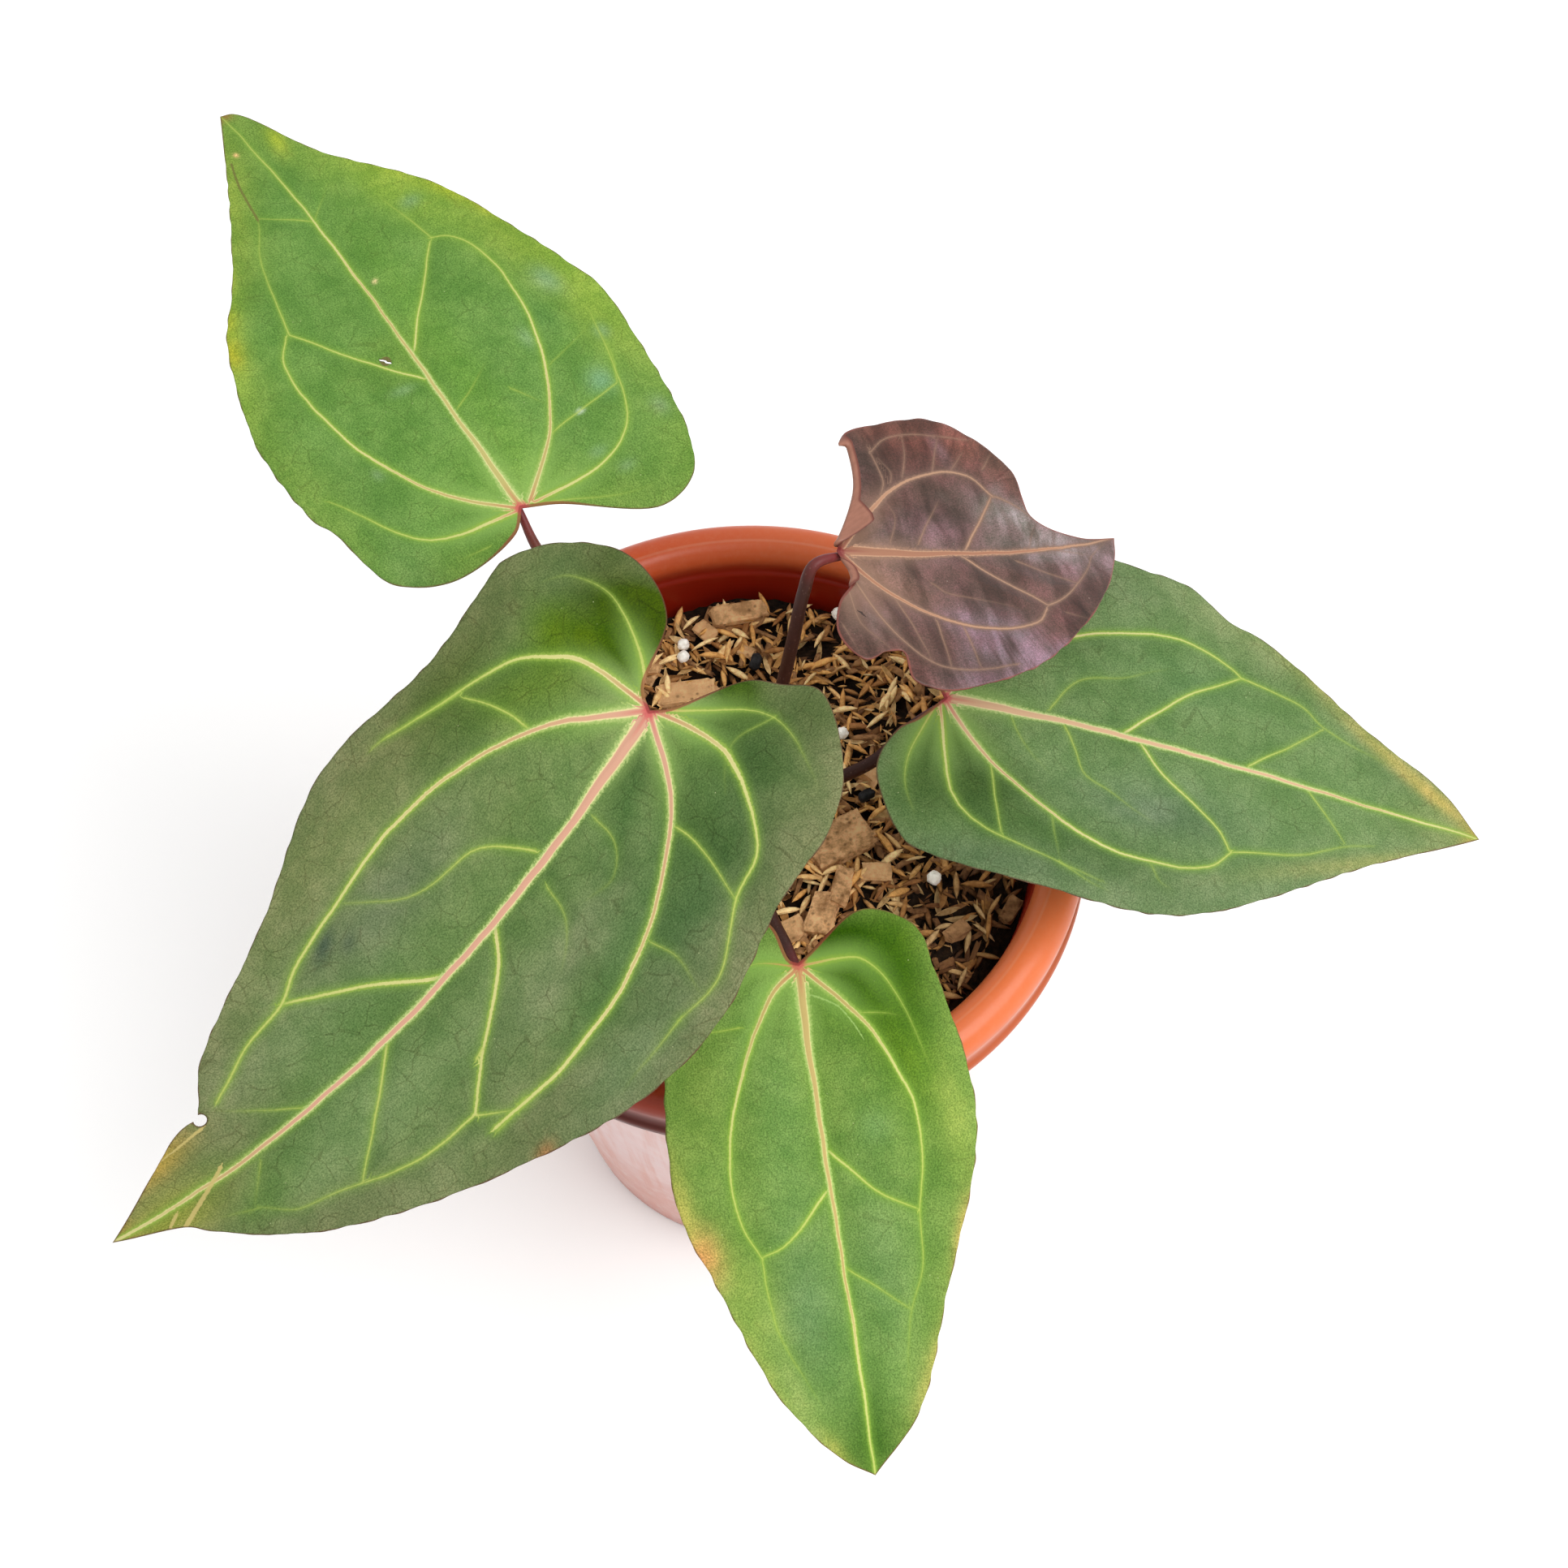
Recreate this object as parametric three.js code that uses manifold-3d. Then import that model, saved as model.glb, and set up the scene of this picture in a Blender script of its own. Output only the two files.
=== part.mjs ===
// A young velvet-leaved anthurium with five heart-shaped leaves, growing in a round plastic nursery pot.
// Units are millimetres, +Z is up, and the origin is the middle of the pot's underside.
// Seen from the front (from -Y), +X is to the right.
import * as THREE from "three";
import { mergeVertices } from "three/addons/utils/BufferGeometryUtils.js";
import Module from "manifold-3d";

// Driving dimensions of the pot. The rolled crest and the skirt's face stand a little inside the widest line of the
// rim. SKIRT_LIP is the bead round the skirt's lower edge, as distance out from the face and up from the edge.
const POT_HEIGHT = 195;
const RIM_RADIUS = 95;
const CREST_RADIUS = 6.3;
const CREST_INSET = 0.4;
const CREST_STEPS = 7;
const SKIRT_HEIGHT = 20.5;
const SKIRT_WALL = 2.4;
const SKIRT_INSET = 0.6;
const SKIRT_LIP = [[-0.6, 0], [-0.6, 1.4], [-1.8, 2.1], [0, 3.2], [SKIRT_INSET, 4.6], [0, 6.2]];
const BASE_RADIUS = 59.5;
const BASE_ROUND = 2.5;
const NECK_RADIUS = 83.5;
const NECK_FLARE = 1;
const WALL = 2.4;
const LEDGE_DROP = 10;
const LEDGE_STEP = 2;
const DRAIN_HOLES = 6;
const DRAIN_RADIUS = 5;
const DRAIN_RING = 38;
const DRAIN_SIDES = 14;
const POT_SIDES = 48;

// Driving dimensions of the potting mix. Its top face has a slow swell, a finer ripple and a slight mound.
const MIX_LEVEL = 176;
const MIX_UNEVEN = 1.6;
const SWELL = { x: 13, y: 11, shiftX: 1.3, shiftY: 0.4 };
const RIPPLE = { x: 6.1, y: 7.3, amount: 0.6 };
const MOUND = 0.0003;
const MIX_RINGS = [0, 9, 20, 33, 46, 58, 68];
const MIX_SIDES = 40;
const MIX_EDGE_GAP = 0.5;
const MIX_EDGE_BAND = 1.2;
const MIX_FOOT = { z: 8, inset: 5 };
const MIX_SHOULDER = 6;
const MIX_SEED = 4711;
const HUSKS = 84;
const HUSK_SIZE = [6.2, 1.9, 1.3];
const CHIPS = 13;
const CHIP_SIZE = [11, 7.5, 4];
const PERLITE = 10;
const PERLITE_RADIUS = 2.4;
const KEEP_IN = { husks: 9, chips: 17, perlite: 12 };
const SIZE_SPREAD = 0.4;
const CHIP_SPREAD = 0.6;
const TILT_SPREAD = 0.5;
const LYING_HEIGHT = 0.3;
const GOLDEN_ANGLE = 2.39996;
const CLEAR = 0.3;

// Driving dimensions of the stem and the leaf stalks.
const STEM_CENTRE = [-3.5, 1.2];
const STEM_ROOT_Z = 150;
const STEM_SIDES = 14;
const STEM_PROFILE = [
  [5.5, 150], [7.6, 158], [8.4, 168], [9.2, 176], [8.6, 181], [9, 184], [7.8, 188], [6.4, 192], [3.4, 195],
];
const STALK_RADIUS = 2.7;
const STALK_SIDES = 4;
const STALK_STEPS = 16;

// Driving dimensions of the leaf blades. A blade is thickest over its midrib, whose rib thins towards the tip.
const BLADE = 0.9;
const RIB = 1.5;
const RIB_WIDTH = 2.6;
const RIB_TAPER = 0.8;
const LOBE_BEND = 0.4;
const ROWS = 17;
const ACROSS = [0, 0.045, 0.13, 0.3, 0.5, 0.7, 0.87, 1];
const CURL_STEPS = 3;
const CURL_START = 0.1;
const OUTLINE_STEPS = 12;
const WAVE_LAG = 1.9;

// Each leaf: where its blade joins its stalk, its heading from +X, the pitch and extra droop of its midrib, its roll,
// then its midrib's sideways bow and sway. valley, arch and wave shape the section across the blade. left and right
// list the outline from the junction round each lobe to the tip, as distance along the midrib and distance from it.
// turn is the index of the rearmost point of a lobe. curl rolls the young leaf's inner edge over on to its top face.
// stalk lists the stalk's way from the stem up to the junction.
const LEAVES = [
  {
    name: "back_left", junction: [-60.5, 53, 262], heading: 123.6, pitch: -5, droop: 16, roll: 0.8,
    length: 172.5, halfWidth: 62, bow: -1, sway: 1.7, valley: 0.2, valleyWidth: 10, arch: 9,
    wave: 1.2, waveLength: 70, wavePhase: 0.4,
    left: { turn: 2, points: [[0, 0], [-6, 5.5], [-10.5, 27.5], [-2.5, 42], [16.5, 46.5], [24, 49.5], [52.5, 51],
      [64, 49], [88.5, 41.5], [105, 31.5], [172.5, 0]] },
    right: { turn: 2, points: [[0, 0], [-4, -8.5], [-20, -32], [-14, -46], [47.5, -55.5], [57.5, -52.5], [75, -47],
      [104.5, -36.5], [139, -15], [171, -3.5], [172.5, 0]] },
    stalk: [[-6, 4, 178], [-27, 19, 207], [-46, 37, 235], [-57.5, 47.5, 253]],
  },
  {
    name: "front_left", junction: [-24, -20.5, 282], heading: 222.7, pitch: 6, droop: 20, roll: 0,
    length: 186, halfWidth: 68, bow: 16.1, sway: -1.9, valley: 0.24, valleyWidth: 12, arch: 13,
    wave: 1.4, waveLength: 80, wavePhase: 2,
    left: { turn: 4, points: [[0, 0], [-3.5, 3], [-23, 11.5], [-28, 18.5], [-33.5, 26.5], [-23, 46.5], [-11, 55.5],
      [-1, 58.5], [13, 58], [43, 62], [68, 59.5], [93.5, 50.5], [145, 27.5], [165, 11], [169, 6.5], [186, 0]] },
    right: { turn: 3, points: [[0, 0], [-3, -5.5], [-20, -15.5], [-25, -28], [-23, -40.5], [-6, -56.5], [32, -57.5],
      [71, -61.5], [105, -44.5], [140, -26.5], [148, -17.5], [157.5, -15], [186, 0]] },
    stalk: [[-5.5, -1, 180], [-11, -6.5, 207], [-16, -11.5, 235], [-21, -16.5, 266]],
  },
  {
    name: "young", junction: [23, 30.5, 276], heading: 21, pitch: 18, droop: 15, roll: 5.4,
    length: 92, halfWidth: 42, bow: -5.1, sway: 0.5, valley: 0.22, valleyWidth: 7, arch: 5,
    wave: 0.8, waveLength: 40, wavePhase: 0.5,
    left: { turn: 3, points: [[0, 0], [11, 19], [13, 31.5], [13, 35], [36.5, 41.5], [49, 37], [62, 24.5],
      [63.5, 10.5], [78, 2.5], [92, 0]], curl: { radius: 1.3, width: 4 } },
    right: { turn: 3, points: [[0, 0], [1, -9], [-6, -16], [-10, -25.5], [-6, -34], [5.5, -32], [5.5, -40.5],
      [13, -43], [42, -37.5], [77, -17.5], [89, -5.5], [92, 0]] },
    stalk: [[-1, 3.5, 184], [4, 10, 205], [9, 17.5, 230], [12, 19.8, 251], [14.5, 22.9, 268], [17.2, 26.5, 275.5]],
  },
  {
    name: "front", junction: [13, -65, 229], heading: -80.9, pitch: 10, droop: 20, roll: 0.1,
    length: 131, halfWidth: 45, bow: -0.7, sway: -0.9, valley: 0.18, valleyWidth: 8, arch: 6,
    wave: 1, waveLength: 60, wavePhase: 1,
    left: { turn: 1, points: [[0, 0], [-11.5, 18.5], [-5, 31.5], [5.5, 34.5], [45, 40], [89.5, 24.5], [116.5, 13.5],
      [131, 0]] },
    right: { turn: 3, points: [[0, 0], [-1, -2], [-11, -5.5], [-15.5, -15.5], [-1, -31], [55.5, -39.5], [78.5, -32.5],
      [109.5, -20.5], [125.5, -8], [131, 0]] },
    stalk: [[-1.5, -2.5, 184], [1, -18, 195], [6.5, -44, 211], [10.5, -57.5, 221]],
  },
  {
    name: "right", junction: [52.5, 12, 232], heading: -7.1, pitch: 7, droop: 20, roll: 1,
    length: 160.5, halfWidth: 52, bow: -1.7, sway: 1.8, valley: 0.2, valleyWidth: 9, arch: 8,
    wave: 1.2, waveLength: 64, wavePhase: 3,
    left: { turn: 1, points: [[0, 0], [-10, 17], [-4.5, 34.5], [23.5, 54.5], [50.5, 52.5], [66, 51.5], [77.5, 44.5],
      [86.5, 42], [119, 23.5], [147.5, 11], [160.5, 0]] },
    right: { turn: 3, points: [[0, 0], [-6.5, -7.5], [-11.5, -12], [-16, -25], [-7.5, -43.5], [-2, -46.5],
      [32.5, -51], [64, -50], [81.5, -44.5], [125.5, -18], [160.5, 0]] },
    stalk: [[1, 1.5, 184], [13, 2.5, 193], [26, 3.6, 203.5], [34.8, 4.8, 211], [45.5, 9.5, 223]],
  },
];

const COLOURS = {
  pot: { color: 0xc4552b, roughness: 0.4 },
  mix: { color: 0x8a6a48, roughness: 0.9 },
  stem: { color: 0x5a4636, roughness: 0.7 },
  stalk: { color: 0x4a2b28, roughness: 0.5 },
  leaf: { color: 0x4c7a3c, roughness: 0.45 },
  youngLeaf: { color: 0x6a4845, roughness: 0.4 },
};

const wasm = await Module();
wasm.setup();

// Booleans: a closed three.js geometry in, a solid out, and back again.
function toSolid(geometry) {
  const bare = geometry.index ? geometry.toNonIndexed() : geometry.clone();
  bare.deleteAttribute("normal");
  bare.deleteAttribute("uv");
  const merged = mergeVertices(bare, 1e-3);
  return new wasm.Manifold(new wasm.Mesh({
    numProp: 3,
    vertProperties: merged.attributes.position.array,
    triVerts: new Uint32Array(merged.index.array),
  }));
}

function toGeometry(solid) {
  const mesh = solid.getMesh();
  const geometry = new THREE.BufferGeometry();
  geometry.setAttribute("position", new THREE.BufferAttribute(mesh.vertProperties, 3));
  geometry.setIndex(new THREE.BufferAttribute(mesh.triVerts, 1));
  geometry.computeVertexNormals();
  return geometry;
}

// The largest body of a solid that a cut has left in pieces.
function largestBody(solid) {
  return solid.decompose().reduce((a, b) => (b.volume() > a.volume() ? b : a));
}

// A repeatable stream of numbers from 0 to 1 for the loose mix.
function randomStream(seed) {
  let state = seed;
  return () => {
    state = (state * 1664525 + 1013904223) % 4294967296;
    return state / 4294967296;
  };
}

// A solid of revolution about Z from [radius, height] pairs that start and end on the axis, going round the outside
// from the bottom to the top.
function turned(profile, sides) {
  const points = profile.map(([radius, z]) => new THREE.Vector2(radius, z));
  return new THREE.LatheGeometry(points, sides).rotateX(Math.PI / 2);
}

// The pot is one thin shell: a flat floor, a tapering wall, a ledge and a rolled rim whose skirt hangs clear outside.
function wallRadius(z) {
  const top = POT_HEIGHT - LEDGE_DROP - LEDGE_STEP / 2;
  return THREE.MathUtils.mapLinear(z, BASE_ROUND, top, BASE_RADIUS, NECK_RADIUS);
}

function potProfile() {
  const crestZ = POT_HEIGHT - CREST_RADIUS;
  const crestR = RIM_RADIUS - CREST_INSET - CREST_RADIUS;
  const edgeZ = POT_HEIGHT - SKIRT_HEIGHT;
  const ledgeZ = POT_HEIGHT - LEDGE_DROP;
  const faceR = RIM_RADIUS - SKIRT_INSET;
  const profile = [[0, 0], [BASE_RADIUS - BASE_ROUND, 0], [BASE_RADIUS, BASE_ROUND]];
  profile.push([NECK_RADIUS, ledgeZ - LEDGE_STEP / 2], [NECK_RADIUS + NECK_FLARE, crestZ]);
  profile.push([faceR - SKIRT_WALL, crestZ], [faceR - SKIRT_WALL, edgeZ]);
  profile.push(...SKIRT_LIP.map(([out, up]) => [faceR + out, edgeZ + up]));
  for (let i = 0; i <= CREST_STEPS; i++) {
    const angle = (i / CREST_STEPS) * Math.PI;
    profile.push([crestR + CREST_RADIUS * Math.cos(angle), crestZ + CREST_RADIUS * Math.sin(angle)]);
  }
  profile.push([crestR - CREST_RADIUS, ledgeZ], [NECK_RADIUS - WALL, ledgeZ - LEDGE_STEP / 2]);
  const foot = WALL + BASE_ROUND;
  profile.push([wallRadius(foot) - WALL, foot], [wallRadius(foot) - foot, WALL], [0, WALL]);
  return profile;
}

function makePot() {
  let pot = toSolid(turned(potProfile(), POT_SIDES));
  for (let i = 0; i < DRAIN_HOLES; i++) {
    const angle = (i / DRAIN_HOLES) * 2 * Math.PI;
    const drill = new THREE.CylinderGeometry(DRAIN_RADIUS, DRAIN_RADIUS, 4 * WALL, DRAIN_SIDES);
    drill.rotateX(Math.PI / 2).translate(DRAIN_RING * Math.cos(angle), DRAIN_RING * Math.sin(angle), 0);
    pot = pot.subtract(toSolid(drill));
  }
  return pot;
}

// The level of the mix at a place: a low mound with gentle hollows.
function mixLevel(x, y) {
  const swell = Math.sin(x / SWELL.x + SWELL.shiftX) * Math.cos(y / SWELL.y - SWELL.shiftY);
  const ripple = RIPPLE.amount * Math.sin(x / RIPPLE.x - y / RIPPLE.y);
  return MIX_LEVEL + MIX_UNEVEN * (swell + ripple) - MOUND * (x * x + y * y);
}

// The body of the mix fills the pot, and its top face follows mixLevel.
function mixCore() {
  const edge = (z) => wallRadius(z) - WALL - CLEAR - MIX_EDGE_GAP;
  const floor = WALL + CLEAR;
  const shoulder = MIX_LEVEL - MIX_SHOULDER;
  const rings = MIX_RINGS.concat([edge(MIX_LEVEL) - MIX_EDGE_BAND]).reverse();
  const profile = [[0, floor], [edge(MIX_FOOT.z) - MIX_FOOT.inset, floor], [edge(MIX_FOOT.z), MIX_FOOT.z]];
  profile.push([edge(shoulder), shoulder], ...rings.map((radius) => [radius, MIX_LEVEL]));
  const geometry = turned(profile, MIX_SIDES);
  const position = geometry.attributes.position;
  for (let i = 0; i < position.count; i++) {
    if (position.getZ(i) > MIX_LEVEL - 1) position.setZ(i, mixLevel(position.getX(i), position.getY(i)));
  }
  return toSolid(geometry);
}

// Loose pieces lie on the mix at random places and turns, each sunk well into it and kept in from the pot's wall.
function scatter(count, inset, random, shape) {
  const reach = wallRadius(MIX_LEVEL) - WALL - inset;
  const tilt = () => (random() - 0.5) * TILT_SPREAD;
  const pieces = [];
  for (let i = 0; i < count; i++) {
    const radius = reach * Math.sqrt((i + 0.5) / count);
    const angle = i * GOLDEN_ANGLE + random() * 0.5;
    const x = radius * Math.cos(angle);
    const y = radius * Math.sin(angle);
    const piece = shape();
    piece.rotateX(tilt()).rotateY(tilt()).rotateZ(random() * 2 * Math.PI);
    pieces.push(toSolid(piece.translate(x, y, mixLevel(x, y) + LYING_HEIGHT)));
  }
  return pieces;
}

function makeMix() {
  const random = randomStream(MIX_SEED);
  const vary = (spread) => 1 - spread / 2 + spread * random();
  const husk = () => new THREE.SphereGeometry(1, 5, 3).rotateZ(Math.PI / 2)
    .scale(HUSK_SIZE[0] * vary(SIZE_SPREAD), HUSK_SIZE[1], HUSK_SIZE[2]);
  const chip = () => new THREE.BoxGeometry(CHIP_SIZE[0] * vary(CHIP_SPREAD), CHIP_SIZE[1], CHIP_SIZE[2]);
  const bead = () => new THREE.IcosahedronGeometry(PERLITE_RADIUS * vary(SIZE_SPREAD), 0);
  const pieces = scatter(HUSKS, KEEP_IN.husks, random, husk);
  pieces.push(...scatter(CHIPS, KEEP_IN.chips, random, chip));
  pieces.push(...scatter(PERLITE, KEEP_IN.perlite, random, bead));
  const heap = pieces.reduce((sum, piece) => sum.add(piece), mixCore());
  return largestBody(heap.subtract(stemSolid(CLEAR)));
}

// The short stem stands in a plain hole in the mix, with a few swollen rings where old leaves grew.
function stemSolid(grow) {
  const inside = STEM_PROFILE.map(([radius, z]) => [radius + grow, z]);
  const bottom = [[0, STEM_ROOT_Z - grow], [STEM_PROFILE[0][0] + grow, STEM_ROOT_Z - grow]];
  const top = [[0, STEM_PROFILE[STEM_PROFILE.length - 1][1] + grow]];
  const stem = turned(bottom.concat(inside.slice(1), top), STEM_SIDES);
  return toSolid(stem.translate(STEM_CENTRE[0], STEM_CENTRE[1], 0));
}

// A point of a blade's middle surface, s along the midrib and d across it. The midrib is an arc in the upright plane
// of its heading. Across it the blade rises from a valley and arches down, with a slow wave along its margin.
function bladePoint(leaf, s, d) {
  const rad = THREE.MathUtils.degToRad;
  const bend = (rad(leaf.droop) / leaf.length) * (s < 0 ? LOBE_BEND : 1);
  const start = rad(leaf.pitch);
  const pitch = start + bend * s;
  const heading = rad(leaf.heading);
  const flat = new THREE.Vector3(Math.cos(heading), Math.sin(heading), 0);
  const along = flat.clone().multiplyScalar(Math.cos(pitch)).setZ(-Math.sin(pitch));
  const side = new THREE.Vector3(-Math.sin(heading), Math.cos(heading), 0).applyAxisAngle(along, rad(leaf.roll));
  const up = along.clone().cross(side);
  const t = Math.min(Math.max(s / leaf.length, 0), 1);
  const bow = leaf.bow * 4 * t * (1 - t) + leaf.sway * 4 * t * (1 - t) * (1 - 2 * t);
  const w = leaf.valleyWidth;
  const out = Math.min(Math.abs(d) / leaf.halfWidth, 1.3);
  const phase = (2 * Math.PI * s) / leaf.waveLength + leaf.wavePhase + (d > 0 ? 0 : WAVE_LAG);
  const lift = leaf.valley * (Math.sqrt(d * d + w * w) - w) - leaf.arch * (d / leaf.halfWidth) ** 2
    + leaf.wave * out * out * Math.sin(phase);
  return new THREE.Vector3(...leaf.junction)
    .addScaledVector(flat, (Math.sin(pitch) - Math.sin(start)) / bend)
    .add(new THREE.Vector3(0, 0, (Math.cos(pitch) - Math.cos(start)) / bend))
    .addScaledVector(side, d + bow)
    .addScaledVector(up, lift);
}

function bladeNormal(leaf, s, d) {
  const h = 0.1;
  const alongStep = bladePoint(leaf, s + h, d).sub(bladePoint(leaf, s - h, d));
  const sideStep = bladePoint(leaf, s, d + h).sub(bladePoint(leaf, s, d - h));
  return alongStep.cross(sideStep).normalize();
}

// A smooth outline through the listed points, resampled at even steps before and after the lobe's rearmost point.
function resample(points, count) {
  const lengths = [0];
  for (let i = 1; i < points.length; i++) lengths.push(lengths[i - 1] + points[i].distanceTo(points[i - 1]));
  const total = lengths[lengths.length - 1];
  return (t) => {
    const wanted = Math.min(Math.max(t, 0), 1) * total;
    let i = 1;
    while (i < lengths.length - 1 && lengths[i] < wanted) i++;
    return points[i - 1].clone().lerp(points[i], (wanted - lengths[i - 1]) / (lengths[i] - lengths[i - 1] || 1));
  };
}

function outlineCurves(half) {
  const knots = half.points.map(([s, d]) => new THREE.Vector3(s, d, 0));
  const curve = new THREE.CatmullRomCurve3(knots, false, "centripetal");
  const dense = curve.getPoints(OUTLINE_STEPS * (knots.length - 1));
  const split = OUTLINE_STEPS * half.turn;
  return { back: resample(dense.slice(0, split + 1)), edge: resample(dense.slice(split)) };
}

// One half of a blade as a grid of rows from the lobe's inner edge (u = 0) to the tip (u = 1). A row runs from the
// midrib to the margin, and keeps the shape of the inner edge, fading towards the tip.
function halfGrid(leaf, half) {
  const { back, edge } = outlineCurves(half);
  const turn = edge(0);
  const place = (u, v) => {
    const midrib = new THREE.Vector3(u * leaf.length, 0, 0).multiplyScalar(1 - v);
    const inner = back(v).addScaledVector(turn, -v).multiplyScalar(1 - u);
    return midrib.addScaledVector(edge(u), v).add(inner);
  };
  const rows = [];
  for (let i = 0; i <= ROWS; i++) {
    rows.push(ACROSS.map((v) => {
      const { x: s, y: d } = place(i / ROWS, v);
      const normal = bladeNormal(leaf, s, d);
      const rib = RIB * Math.exp(-((d / RIB_WIDTH) ** 2)) * (1 - RIB_TAPER * Math.max(s / leaf.length, 0));
      return { point: bladePoint(leaf, s, d), normal, below: BLADE / 2 + (v < 1 ? rib : 0), above: BLADE / 2 };
    }));
  }
  return half.curl ? curledEdge(rows, half.curl).concat(rows) : rows;
}

// The rows of an inner edge that rolls over on to the top face: a half turn about a thin roll, then a narrow flap.
function curledEdge(rows, curl) {
  const extra = [];
  for (let k = CURL_STEPS + 1; k >= 1; k--) {
    extra.push(rows[0].map((cell, j) => {
      const size = ACROSS[j] < CURL_START || ACROSS[j] === 1 ? 0 : Math.sqrt(Math.sin(Math.PI * ACROSS[j]));
      const outward = cell.point.clone().sub(rows[1][j].point);
      outward.addScaledVector(cell.normal, -outward.dot(cell.normal)).normalize();
      const angle = (Math.min(k, CURL_STEPS) / CURL_STEPS) * Math.PI;
      const flat = k > CURL_STEPS ? curl.width * size : 0;
      const point = cell.point.clone()
        .addScaledVector(outward, curl.radius * size * Math.sin(angle) - flat)
        .addScaledVector(cell.normal, curl.radius * size * (1 - Math.cos(angle)));
      const normal = cell.normal.clone().multiplyScalar(Math.cos(angle)).addScaledVector(outward, -Math.sin(angle));
      return size ? { point, normal: normal.normalize(), below: cell.above, above: cell.above } : cell;
    }));
  }
  return extra;
}

// A closed blade from its two half grids: a top face, an underside and a wall round the margin.
function bladeGeometry(leaf, grow) {
  const corners = [];
  const put = (...points) => points.forEach((p) => corners.push(p.x, p.y, p.z));
  const above = (cell) => cell.point.clone().addScaledVector(cell.normal, cell.above + grow);
  const below = (cell) => cell.point.clone().addScaledVector(cell.normal, -cell.below - grow);
  const quad = (a, b, c, d) => put(a, b, c, a, c, d);
  for (const [key, flip] of [["left", false], ["right", true]]) {
    const rows = halfGrid(leaf, leaf[key]);
    const top = rows.map((row) => row.map(above));
    const low = rows.map((row) => row.map(below));
    const face = (a, b, c, d) => (flip ? quad(d, c, b, a) : quad(a, b, c, d));
    const last = ACROSS.length - 1;
    for (let i = 0; i < rows.length - 1; i++) {
      for (let j = 0; j < last; j++) {
        face(top[i][j], top[i + 1][j], top[i + 1][j + 1], top[i][j + 1]);
        face(low[i][j + 1], low[i + 1][j + 1], low[i + 1][j], low[i][j]);
      }
      face(top[i][last], top[i + 1][last], low[i + 1][last], low[i][last]);
    }
    for (let j = 0; j < last; j++) face(top[0][j], top[0][j + 1], low[0][j + 1], low[0][j]);
  }
  const loose = new THREE.BufferGeometry();
  loose.setAttribute("position", new THREE.Float32BufferAttribute(corners, 3));
  const merged = mergeVertices(loose, 2e-3);
  const index = merged.index.array;
  const kept = [];
  for (let i = 0; i < index.length; i += 3) {
    const [a, b, c] = [index[i], index[i + 1], index[i + 2]];
    if (a !== b && b !== c && c !== a) kept.push(a, b, c);
  }
  merged.setIndex(kept);
  merged.computeVertexNormals();
  return merged;
}

// A leaf stalk: a round tube from inside the stem to the underside of the blade, cut clear of both.
function stalkSolid(leaf) {
  const under = bladePoint(leaf, 3, 0).addScaledVector(bladeNormal(leaf, 3, 0), -BLADE);
  const way = leaf.stalk.map((p) => new THREE.Vector3(...p)).concat([under]);
  const ring = new THREE.Shape().absarc(0, 0, STALK_RADIUS, 0, 2 * Math.PI);
  const tube = new THREE.ExtrudeGeometry(ring, {
    steps: STALK_STEPS,
    curveSegments: STALK_SIDES,
    extrudePath: new THREE.CatmullRomCurve3(way, false, "centripetal"),
  });
  const backwards = bladePoint(leaf, 0, 0).sub(bladePoint(leaf, 2 * CLEAR, 0));
  const cuts = [stemSolid(CLEAR)];
  for (const grow of [0, CLEAR]) {
    const blade = bladeGeometry(leaf, grow);
    cuts.push(toSolid(blade), toSolid(blade.clone().translate(...backwards)));
  }
  return largestBody(cuts.reduce((tubeLeft, cut) => tubeLeft.subtract(cut), toSolid(tube)));
}

function named(name, geometry, colour) {
  const mesh = new THREE.Mesh(geometry, new THREE.MeshStandardMaterial({ ...colour, metalness: 0 }));
  mesh.name = name;
  return mesh;
}

const plant = new THREE.Group();
plant.add(named("stem", toGeometry(stemSolid(0)), COLOURS.stem));
for (const leaf of LEAVES) {
  plant.add(named("stalk_" + leaf.name, toGeometry(stalkSolid(leaf)), COLOURS.stalk));
  const colour = leaf.name === "young" ? COLOURS.youngLeaf : COLOURS.leaf;
  plant.add(named("blade_" + leaf.name, bladeGeometry(leaf, 0), colour));
}

const pottedPlant = new THREE.Group();
pottedPlant.add(named("pot", toGeometry(makePot()), COLOURS.pot));
pottedPlant.add(named("potting_mix", toGeometry(makeMix()), COLOURS.mix));
pottedPlant.add(plant);

export default pottedPlant;
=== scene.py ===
# A potted velvet-leaved anthurium: five heart-shaped leaves on maroon stalks, growing from a loose mix of
# rice husks and bark in a round plastic nursery pot. Lengths in the tables are millimetres, +Z is up, and the
# front is -Y.
import math

import bpy
import numpy as np
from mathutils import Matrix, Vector


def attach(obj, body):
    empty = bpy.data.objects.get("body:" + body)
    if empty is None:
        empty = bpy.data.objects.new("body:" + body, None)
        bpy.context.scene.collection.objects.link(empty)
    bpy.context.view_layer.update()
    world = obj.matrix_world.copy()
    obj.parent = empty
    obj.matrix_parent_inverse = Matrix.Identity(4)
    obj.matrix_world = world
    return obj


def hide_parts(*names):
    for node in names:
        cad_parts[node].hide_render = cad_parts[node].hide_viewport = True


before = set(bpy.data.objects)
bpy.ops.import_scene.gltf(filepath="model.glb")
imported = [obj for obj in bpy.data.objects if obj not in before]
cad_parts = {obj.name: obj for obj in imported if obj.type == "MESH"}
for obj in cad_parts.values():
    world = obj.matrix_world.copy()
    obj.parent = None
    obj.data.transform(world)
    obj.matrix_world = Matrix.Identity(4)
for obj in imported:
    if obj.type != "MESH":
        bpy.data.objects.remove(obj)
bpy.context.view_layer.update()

MM = 0.001
UP = np.array([0.0, 0.0, 1.0])

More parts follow.
